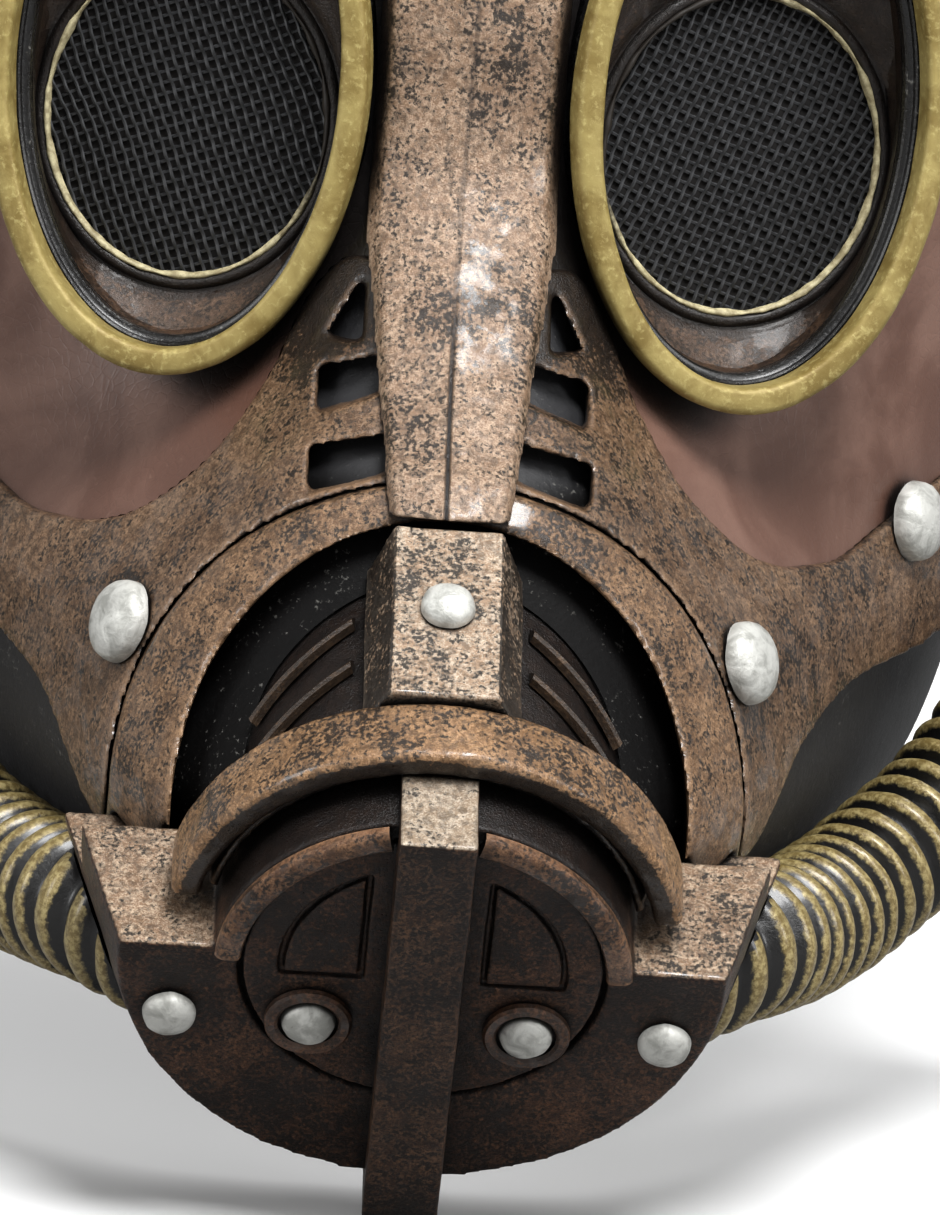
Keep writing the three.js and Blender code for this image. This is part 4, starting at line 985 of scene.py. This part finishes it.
def cast_paint_group(wear_and_shade):
    """Bronze paint dabbed over black, worn along its edges."""
    tree, bench, given, made = new_group(
        "cast_paint",
        [("Coords", VECTOR, None), ("Dark", COLOUR, tint(16, 13, 12)), ("Body", COLOUR, tint(124, 88, 63)),
         ("Bright", COLOUR, tint(188, 144, 108)), ("Black", NUMBER, 0.0), ("Rub", NUMBER, 0.8)],
        [("Color", COLOUR), ("Roughness", NUMBER), ("Height", NUMBER), ("Gloss", NUMBER)])
    edge = bench.group(wear_and_shade)
    coords = given["Coords"]
    cloud = bench.noise(coords, 95, 5, 0.6, 0.4)
    patch = bench.noise(coords, 620, 5, 0.66, 0.4)
    fleck = bench.noise(coords, 2300, 4, 0.72, 0.2)
    grain = bench.noise(coords, 4600, 3, 0.6)
    glaze = bench.step(bench.noise(coords, 1150, 4, 0.6, 0.3), 0.44, 0.6)
    lift = bench.scaled(bench.less(cloud, 0.5), 0.6, given["Black"])
    lift = bench.scaled(bench.less(patch, 0.5), 0.75, lift)
    shine = bench.scaled(fleck, 0.4, bench.noise(coords, 240, 4, 0.6, 0.6))
    gloss = bench.step(shine, 0.66, 0.78, 0.1)
    lift = bench.plus(fleck, lift)
    black = bench.step(lift, 0.49, 0.6)
    tone = bench.step(bench.scaled(patch, 0.5, bench.times(grain, 0.5)), 0.42, 0.6)
    color = bench.blend(tone, given["Body"], given["Bright"])
    color = bench.blend(bench.times(glaze, 0.45), color, given["Dark"])
    rubbed = bench.times(edge["Edge"], given["Rub"])
    color = bench.blend(rubbed, color, given["Bright"])
    black = bench.times(black, bench.less(1.0, bench.times(rubbed, 0.75)))
    color = bench.blend(bench.times(black, 0.93), color, given["Dark"])
    # corners darken towards Dark: black paint left in the hollows, and painted shade
    color = bench.blend(edge["Corner"], color, given["Dark"])
    rough = bench.scaled(grain, 0.4, 0.14)
    height = bench.scaled(black, -0.35, bench.scaled(grain, 0.7, fleck))
    for label, value in (("Color", color), ("Roughness", rough), ("Height", height), ("Gloss", gloss)):
        tree.links.new(value, made[label])
    return tree


def place_group():
    """How high up the drum a point is, and how far its face looks up or out of the drum."""
    tree, bench, _, made = new_group("drum_place", [], [("Up", NUMBER), ("Top", NUMBER), ("Front", NUMBER)])
    spot = bench.put("ShaderNodeTexCoord").outputs["Object"]
    normal = bench.normal()
    up = (0, -math.sin(BOX_TILT), math.cos(BOX_TILT))
    out = (0, -math.cos(BOX_TILT), -math.sin(BOX_TILT))
    from_front = bench.from_box_front(spot)
    for label, a, b in (("Up", from_front, up), ("Top", normal, up), ("Front", normal, out)):
        tree.links.new(bench.along(a, b), made[label])
    return tree


WEAR_AND_SHADE = wear_and_shade_group()
CAST_PAINT = cast_paint_group(WEAR_AND_SHADE)
DRUM_PLACE = place_group()


def new_material(name):
    material = bpy.data.materials.new(name)
    material.use_nodes = True
    bench = Bench(material.node_tree)
    shader = material.node_tree.nodes["Principled BSDF"]
    coords = bench.put("ShaderNodeTexCoord").outputs["Object"]
    return material, bench, shader, coords


def wire(bench, shader, **sockets):
    for key, value in sockets.items():
        label = key.replace("_", " ")
        if isinstance(value, bpy.types.NodeSocket):
            bench.tree.links.new(value, shader.inputs[label])
        else:
            shader.inputs[label].default_value = value


def bumped(bench, height, strength, distance):
    wires = {"Height": height, "Strength": strength, "Distance": distance * MM}
    return bench.put("ShaderNodeBump", wires).outputs["Normal"]


def cast_finish(bench, shader, paint, coat, metal=0.15, coat_rough=0.2, specular=0.35, bump=(0.65, 0.16),
                color=None, height=None):
    """Wires the cast paint to a material, with its gloss in patches."""
    color = paint["Color"] if color is None else color
    height = paint["Height"] if height is None else height
    wire(bench, shader, Base_Color=color, Roughness=paint["Roughness"], Metallic=metal,
         Coat_Weight=bench.times(paint["Gloss"], coat), Coat_Roughness=coat_rough,
         Specular_IOR_Level=specular, Normal=bumped(bench, height, *bump))


def bronze(name, body, bright, black=0.0, rub=0.8, black_at=None, coat=0.8):
    material, bench, shader, coords = new_material(name)
    black = black_at(bench, coords) if black_at else black
    paint = bench.group(CAST_PAINT, Coords=coords, Dark=tint(14, 11, 10), Body=body, Bright=bright,
                        Black=black, Rub=rub)
    cast_finish(bench, shader, paint, coat, 0.12, 0.17, 0.45)
    return material


def darker_up_the_nose(bench, coords):
    z = bench.spot(coords)["Z"]
    return bench.step(z, -0.03, -0.014, -0.02, 0.3)


def black_in_funnel(bench, _):
    lip = bench.step(bench.mark("near_opening"), 1.16, 1.1)
    bowl = bench.step(bench.mark("low"), 0.25, 0.75, 0.24, 0.03)
    return bench.scaled(lip, 0.45, bowl)


def painted_shade_on_sides(bench, _):
    # painted shade: faces turned sideways get more black
    normal = bench.spot(bench.normal())
    return bench.step(bench.size(normal["X"]), 0.3, 0.6, -0.03, 0.14)


def bar_paint():
    """Painted shade down its front, and a cap painted pale as a wet highlight."""
    material, bench, shader, coords = new_material("bar_bronze")
    # painted light: faces looking up are painted pale as lit, the rest dark as shaded
    top = bench.step(bench.group(DRUM_PLACE)["Top"], 0.3, 0.75)
    body = bench.blend(top, tint(54, 37, 28), tint(150, 130, 108))
    bright = bench.blend(top, tint(112, 82, 60), tint(204, 188, 168))
    paint = bench.group(CAST_PAINT, Coords=coords, Body=body, Bright=bright,
                        Black=bench.scaled(top, -0.1, 0.05), Rub=0.9)
    cast_finish(bench, shader, paint, bench.scaled(top, 0.5, 0.1), coat_rough=0.25, bump=(0.6, 0.14))
    return material


def nose_paint():
    material, bench, shader, coords = new_material("nose_bronze")
    paint = bench.group(CAST_PAINT, Coords=coords, Body=tint(136, 109, 87), Bright=tint(194, 167, 142),
                        Black=-0.01, Rub=0.6)
    spot = bench.spot(coords)
    sway = bench.scaled(bench.sine(bench.times(spot["Z"], 60.0)), 0.0004, -0.0002)
    off = bench.size(bench.less(spot["X"], sway))
    seam = bench.step(off, 0.00045, 0.0001)
    strong = bench.step(spot["Z"], -0.012, -0.026, 0.45, 1.0)
    seam = bench.times(seam, strong)
    color = bench.blend(seam, paint["Color"], tint(24, 18, 16))
    height = bench.scaled(seam, -2.2, paint["Height"])
    cast_finish(bench, shader, paint, 0.6, 0.1, specular=0.4, color=color, height=height)
    return material


def box_paint():
    material, bench, shader, coords = new_material("box_dark_bronze")
    place_ = bench.group(DRUM_PLACE)
    side = bench.size(bench.spot(coords)["X"])
    # painted light: shoulder tops facing up are painted paler, with less black, as lit from above
    top = bench.times(bench.step(place_["Top"], 0.35, 0.85), bench.step(side, 0.0205, 0.0235))
    # painted shade: more black on the neck in the hollow behind the visor
    neck = bench.times(bench.step(place_["Up"], 0.004, 0.012), bench.step(place_["Front"], 0.9, 0.6))
    body = bench.blend(top, tint(58, 38, 28), tint(136, 108, 84))
    bright = bench.blend(top, tint(118, 82, 58), tint(206, 182, 156))
    black = bench.scaled(top, -0.1, bench.scaled(neck, 0.3, 0.06))
    paint = bench.group(CAST_PAINT, Coords=coords, Body=body, Bright=bright, Black=black, Rub=0.9)
    cast_finish(bench, shader, paint, bench.scaled(top, 0.6, 0.1), bump=(0.7, 0.18))
    return material


def visor_paint():
    """Warm bronze on the visor's outside; under it black paint and painted shade."""
    def paint_and_shade_under(bench, coords):
        place_ = bench.group(DRUM_PLACE)
        facing = bench.along(bench.from_box_front(coords), bench.normal())
        # black paint and painted shade on faces turned in towards the drum, under the visor
        inward = bench.step(facing, 0.004, -0.008)
        return bench.scaled(inward, 0.5, bench.times(place_["Front"], -0.05))
    return bronze("visor_bronze", tint(126, 94, 64), tint(188, 148, 108), black_at=paint_and_shade_under, rub=0.7)


def leather():
    material, bench, shader, coords = new_material("brown_skin")
    broad = bench.noise(coords, 60, 4, 0.55, 0.5)
    grain = bench.noise(coords, 1300, 4, 0.6)
    pores = bench.put("ShaderNodeTexVoronoi", {"Vector": coords, "Scale": 750.0},
                      feature="DISTANCE_TO_EDGE").outputs["Distance"]
    scuff = bench.step(bench.noise(coords, 420, 6, 0.72, 0.8), 0.6, 0.74)
    color = bench.blend(bench.step(broad, 0.35, 0.65), tint(98, 68, 56), tint(126, 95, 82))
    color = bench.blend(bench.times(scuff, 0.45), color, tint(146, 116, 102))
    spot = bench.spot(coords)
    beside = bench.plus(bench.size(spot["X"]), bench.times(bench.less(grain, 0.5), 0.004))
    beside = bench.times(bench.step(beside, 0.018, 0.0145), bench.step(spot["Z"], -0.034, -0.026))
    color = bench.blend(beside, color, tint(15, 13, 12))
    # painted shade, with black paint, in corners and beside the raised parts
    corner_paint_and_shade = bench.group(WEAR_AND_SHADE, Reach=0.006)["Corner"]
    color = bench.blend(corner_paint_and_shade, color, tint(16, 12, 11))
    height = bench.scaled(bench.step(pores, 0.0, 0.12), 0.5, grain)
    wire(bench, shader, Base_Color=color, Roughness=bench.scaled(grain, 0.3, 0.27), Coat_Weight=0.2,
         Coat_Roughness=0.3, Normal=bumped(bench, height, 0.35, 0.1))
    return material


def painted_shade_in_mouth(bench, coords):
    """How far a point lies in the hollow round the filter box's neck, which gets painted shade."""
    spot = bench.spot(coords)
    wide = bench.step(bench.size(spot["X"]), 0.036, 0.03)
    return bench.times(wide, bench.step(spot["Z"], -0.033, -0.037))


def rubber(name, body, dust_and_glints=0.35, rough=0.42, coat=0.0):
    material, bench, shader, coords = new_material(name)
    fine = bench.noise(coords, 1500, 5, 0.7)
    broad = bench.noise(coords, 160, 4, 0.6, 0.6)
    specks = bench.step(bench.scaled(broad, 0.4, fine), 0.82, 0.92)
    mouth = painted_shade_in_mouth(bench, coords)
    # painted shade: the hollow round the neck is near black, with less reflection
    color = bench.blend(mouth, body, tint(9, 8, 8))
    # pale specks: dust, and painted wet glints
    color = bench.blend(bench.times(specks, dust_and_glints), color, tint(150, 148, 142))
    wire(bench, shader, Base_Color=color, Roughness=bench.scaled(fine, 0.3, rough), Coat_Weight=coat,
         Coat_Roughness=0.2, Specular_IOR_Level=bench.scaled(mouth, -0.38, 0.5),
         Normal=bumped(bench, bench.scaled(broad, 1.6, fine), 0.5, 0.2))
    return material


def cream():
    """Pale where the net's edge shows, dark on the nose side and above."""
    material, bench, shader, coords = new_material("opening_cream")
    spot = bench.spot(coords)
    aside = bench.times(bench.less(bench.size(spot["X"]), 0.031), 62.0)
    aside = bench.scaled(spot["Z"], -40.0, aside)
    fine = bench.noise(coords, 900, 5, 0.65)
    shown = bench.step(bench.scaled(fine, 0.6, aside), -0.5, 0.1)
    pale = bench.blend(bench.step(fine, 0.35, 0.65), tint(150, 138, 104), tint(208, 198, 158))
    color = bench.blend(shown, tint(38, 32, 26), pale)
    wire(bench, shader, Base_Color=color, Roughness=0.55, Normal=bumped(bench, fine, 0.4, 0.1))
    return material


def brass():
    material, bench, shader, coords = new_material("rim_brass")
    broad = bench.noise(coords, 170, 5, 0.62, 0.5)
    fine = bench.noise(coords, 1200, 5, 0.68, 0.3)
    wear_and_shade = bench.group(WEAR_AND_SHADE, Reach=0.0025)
    color = bench.blend(bench.step(broad, 0.36, 0.66), tint(132, 112, 58), tint(170, 152, 92))
    color = bench.blend(bench.step(fine, 0.5, 0.72), color, tint(190, 174, 112))
    dirt = bench.step(bench.scaled(broad, -0.6, fine), 0.36, 0.5)
    color = bench.blend(bench.times(dirt, 0.35), color, tint(70, 56, 30))
    # painted shade, with black paint, where the rim meets the cup and the face
    color = bench.blend(bench.times(wear_and_shade["Corner"], 0.9), color, tint(26, 20, 14))
    wire(bench, shader, Base_Color=color, Roughness=bench.scaled(fine, 0.3, 0.36), Metallic=0.2,
         Normal=bumped(bench, bench.scaled(broad, 2.0, fine), 0.4, 0.15))
    return material


def silver():
    material, bench, shader, coords = new_material("rivet_silver")
    fine = bench.noise(coords, 1300, 5, 0.7, 0.4)
    broad = bench.noise(coords, 420, 4, 0.6, 0.6)
    color = bench.blend(bench.step(broad, 0.34, 0.62), tint(168, 168, 162), tint(216, 216, 210))
    specks = bench.step(fine, 0.62, 0.74)
    color = bench.blend(bench.times(specks, 0.5), color, tint(110, 108, 100))
    # painted shade, with black paint, round the rivet's foot
    corner_paint_and_shade = bench.group(WEAR_AND_SHADE, Reach=0.0012)["Corner"]
    color = bench.blend(bench.times(corner_paint_and_shade, 0.9), color, tint(30, 26, 24))
    wire(bench, shader, Base_Color=color, Roughness=bench.scaled(fine, 0.3, 0.3), Metallic=0.25,
         Normal=bumped(bench, bench.scaled(broad, 1.6, fine), 0.5, 0.2))
    return material


def hose_paint():
    """Olive brass brushed over the crests of a black hose."""
    material, bench, shader, coords = new_material("hose_rubber")
    crest = bench.mark("crest")
    brushed = bench.noise(coords, 260, 5, 0.65, 0.7)
    fine = bench.noise(coords, 1500, 5, 0.7)
    amount = bench.plus(crest, bench.times(bench.less(brushed, 0.5), 0.7))
    amount = bench.scaled(bench.less(fine, 0.5), 0.4, amount)
    painted = bench.step(amount, 0.62, 0.86)
    color = bench.blend(painted, tint(12, 11, 11),
                        bench.blend(bench.step(fine, 0.4, 0.65), tint(116, 98, 54), tint(174, 157, 106)))
    wire(bench, shader, Base_Color=color, Roughness=bench.scaled(fine, 0.35, 0.2), Metallic=0.15,
         Coat_Weight=0.5, Coat_Roughness=0.2,
         Normal=bumped(bench, bench.scaled(brushed, 1.5, fine), 0.5, 0.2))
    return material


def plain(name, color, roughness, metal=0.0):
    material, bench, shader, coords = new_material(name)
    fine = bench.noise(coords, 800, 5, 0.65)
    darker = tuple(c * 0.6 for c in color[:3]) + (1,)
    mixed = bench.blend(bench.step(fine, 0.35, 0.65), darker, color)
    wire(bench, shader, Base_Color=mixed, Metallic=metal, Roughness=bench.scaled(fine, 0.2, roughness - 0.1),
         Normal=bumped(bench, fine, 0.4, 0.1))
    return material


def elastic():
    """A knitted band with fine ribs along it."""
    material, bench, shader, _ = new_material("elastic")
    uv = bench.put("ShaderNodeTexCoord").outputs["UV"]
    spot = bench.spot(uv)
    ribs = bench.size(bench.sine(bench.times(spot["Y"], math.pi / 1.1)))
    stitch = bench.size(bench.sine(bench.times(spot["X"], math.pi / 0.7)))
    height = bench.scaled(stitch, 0.4, ribs)
    color = bench.blend(bench.step(height, 0.3, 1.2), tint(14, 14, 15), tint(42, 42, 44))
    wire(bench, shader, Base_Color=color, Roughness=0.85, Normal=bumped(bench, height, 0.7, 0.25))
    return material


BRONZE = bronze("plate_bronze", tint(95, 71, 52), tint(156, 125, 97), black_at=darker_up_the_nose)
ARCH = bronze("arch_bronze", tint(108, 81, 58), tint(170, 135, 102), black=-0.01)
# the block's front is painted pale as a reflection, and its sides are shaded
PAINTED_SHEEN_BLOCK = bronze("block_bronze_painted_sheen", tint(160, 132, 106), tint(222, 204, 182), black_at=painted_shade_on_sides, rub=0.4)
RIM_PAINT = bronze("plate_rim_bronze", tint(96, 66, 46), tint(158, 118, 86), black=0.02, rub=0.9)
WASHER = bronze("washer_bronze", tint(76, 50, 36), tint(124, 88, 64), black=0.08, rub=0.6)
DARK = bronze("louvre_dark_bronze", tint(36, 28, 22), tint(112, 86, 62), black=0.1, rub=0.6, coat=0.1)
FUNNEL = bronze("funnel_bronze", tint(60, 43, 33), tint(110, 86, 67), black_at=black_in_funnel, rub=0.2,
                coat=0.2)
BAR = bar_paint()
NOSE, BOX, VISOR = nose_paint(), box_paint(), visor_paint()
LEATHER, BRASS, SILVER, HOSE = leather(), brass(), silver(), hose_paint()
RUBBER = rubber("black_rubber", tint(40, 40, 42))
CUP = rubber("cup_rubber", tint(16, 15, 15), 0.5, 0.14, 0.3)
NET = plain("net_wire", tint(66, 67, 69), 0.5, 0.3)
# a near-black sheet behind the net: painted shade for the dark inside of the mask
PAINTED_SHADE_BEHIND_NET = plain("net_painted_shade", tint(14, 9, 8), 0.9)
CREAM = cream()
STRAP = elastic()

SLOT_LOOKS = {"bronze": BRONZE, "dark_bronze": DARK, "brass": BRASS, "silver": SILVER, "brown_skin": LEATHER,
              "black_rubber": RUBBER, "hose_rubber": HOSE, "net": PAINTED_SHADE_BEHIND_NET, "elastic": STRAP}
SLOT_NODES = {
    "silver": ("block_rivet", "disc_rivet", "shoulder_rivet", "cheek_rivet", "arm_rivet"),
    "dark_bronze": ("filter_box", "louvre_1", "louvre_2"), "brass": ("goggle_rim",), "net": ("eye_screen",),
    "black_rubber": ("face_shell", "eye_cup", "hose_socket"), "brown_skin": ("leather_face",),
    "hose_rubber": ("hose",), "elastic": ("head_strap",),
}


def slot_of(node):
    one = node.removesuffix("_left").removesuffix("_right")
    return next((slot for slot, nodes in SLOT_NODES.items() if one in nodes), "bronze")


for node_name, node_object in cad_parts.items():
    dress(node_object, SLOT_LOOKS[slot_of(node_name)])


# ---------------------------------------------------------------- putting the mask together
def finished(obj, node, material, angle=35):
    """Gives a piece its finish and its place in the frame."""
    obj.name = obj.data.name = node + "_look"
    if material:
        dress(obj, material)
    work_on(obj)
    bpy.ops.object.shade_smooth_by_angle(angle=math.radians(angle))
    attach(obj, "root")
    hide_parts(node)
    return obj


def pair(obj, node, material, angle=35):
    if material:
        dress(obj, material)
    other = mirrored(obj, node)
    finished(obj, node + "_right", None, angle)
    finished(other, node + "_left", None, angle)


finished(face_shell(), "face_shell", RUBBER)
finished(leather_face(), "leather_face", LEATHER)
finished(muzzle_plate(), "muzzle_plate", BRONZE, 60)
finished(mouth_arch(), "mouth_arch", ARCH, 60)
finished(nose_plate(), "nose_plate", NOSE, 60)
finished(filter_box(), "filter_box", BOX, 60)
finished(visor(), "visor", VISOR, 60)
for node_name, look in (("centre_block", PAINTED_SHEEN_BLOCK), ("filter_bar", BAR)):
    finished(cast(node_copy(node_name), 0.3, 3, 0.3), node_name, look, 60)
pair(plate_rim(), "plate_rim", RIM_PAINT)
pair(louvre(0), "louvre_1", DARK)
pair(louvre(1), "louvre_2", DARK)
pair(washer(), "disc_washer", WASHER)

slope = math.atan2(1.6, 24.05)
block_place = DRUM @ Matrix.Translation((0, 29.2 + GAP, -24.975)) @ Matrix.Rotation(slope - QUARTER, 4, "X")
finished(rivet(SMALL_RIVET, block_place, "block_rivet"), "block_rivet", SILVER)
for node_name, x in (("disc_rivet", DISC_RIVET_X), ("shoulder_rivet", SHOULDER_RIVET_X)):
    at = DRUM @ Matrix.Translation((x, -BOX_RIVET_DROP, GAP))
    pair(rivet(SMALL_RIVET, at, node_name), node_name, SILVER)
for node_name, spot in (("cheek_rivet", CHEEK_RIVET), ("arm_rivet", ARM_RIVET)):
    pair(face_rivet(*spot, node_name), node_name, SILVER)

pair(goggle_rim(), "goggle_rim", BRASS, 60)
pair(eye_cup(), "eye_cup", CUP)
funnel, edge, wires = mark_funnel(eye_funnel()), opening_edge(), net()
for part, look in ((funnel, FUNNEL), (edge, CREAM), (wires, NET)):
    dress(part, look)
    work_on(part)
    bpy.ops.object.shade_smooth()
pair(joined("eye_funnel", [funnel, edge, wires]), "eye_funnel", None, 60)
pair(ribbed_hose(), "hose", HOSE)
pair(hose_socket(), "hose_socket", RUBBER)
finished(head_strap(), "head_strap", STRAP)


# ---------------------------------------------------------------- floor, light and camera
def floor():
    ground = started("floor", bpy.ops.mesh.primitive_plane_add, size=8, location=(0, 0, -0.1165))
    at_rest()
    material, bench, shader, _ = new_material("pale_floor")
    seen = bench.seen()
    wire(bench, shader, Base_Color=bench.blend(seen, (0.25, 0.25, 0.25, 1), (0.92, 0.92, 0.92, 1)),
         Roughness=0.95)
    ground.data.materials.append(material)


def softbox(name, place_, aim, size, power):
    data = bpy.data.lights.new(name, "AREA")
    data.shape, data.size, data.energy = "DISK", size, power
    lamp = added(name, data)
    lamp.location = place_
    lamp.rotation_euler = (Vector(aim) - Vector(place_)).to_track_quat("-Z", "Y").to_euler()


def studio():
    world = bpy.data.worlds.new("studio")
    bpy.context.scene.world = world
    world.use_nodes = True
    bench = Bench(world.node_tree)
    background = world.node_tree.nodes["Background"]
    seen = bench.seen()
    world.node_tree.links.new(bench.scaled(seen, 0.7, 0.3), background.inputs["Strength"])
    background.inputs["Color"].default_value = (1, 1, 1, 1)
    softbox("key", (0.18, -0.6, 0.95), (0, -0.02, -0.02), 0.5, 17)
    softbox("left", (-0.9, -0.5, 0.35), (0, 0, -0.02), 0.5, 3.6)
    softbox("right", (0.85, -0.6, 0.4), (0, 0, -0.03), 0.4, 3.8)
    softbox("back", (0.2, 0.9, 0.9), (0, 0.05, 0), 0.6, 8)


def camera():
    yaw, pitch, roll = math.radians(2.47), math.radians(8.36), math.radians(4.2)
    forward = Vector((math.sin(yaw) * math.cos(pitch), math.cos(yaw) * math.cos(pitch), -math.sin(pitch)))
    level = Vector((math.cos(yaw), -math.sin(yaw), 0))
    upright = level.cross(forward)
    right = math.cos(roll) * level + math.sin(roll) * upright
    up = -math.sin(roll) * level + math.cos(roll) * upright
    data = bpy.data.cameras.new("camera")
    data.lens, data.sensor_width = 217.7, 36
    eye = added("camera", data)
    eye.matrix_world = Matrix((right, up, -forward)).transposed().to_4x4()
    eye.location = (-0.0309, -0.8212, 0.0676)
    bpy.context.scene.camera = eye


floor()
studio()
camera()
bpy.context.scene.view_settings.view_transform = "Standard"
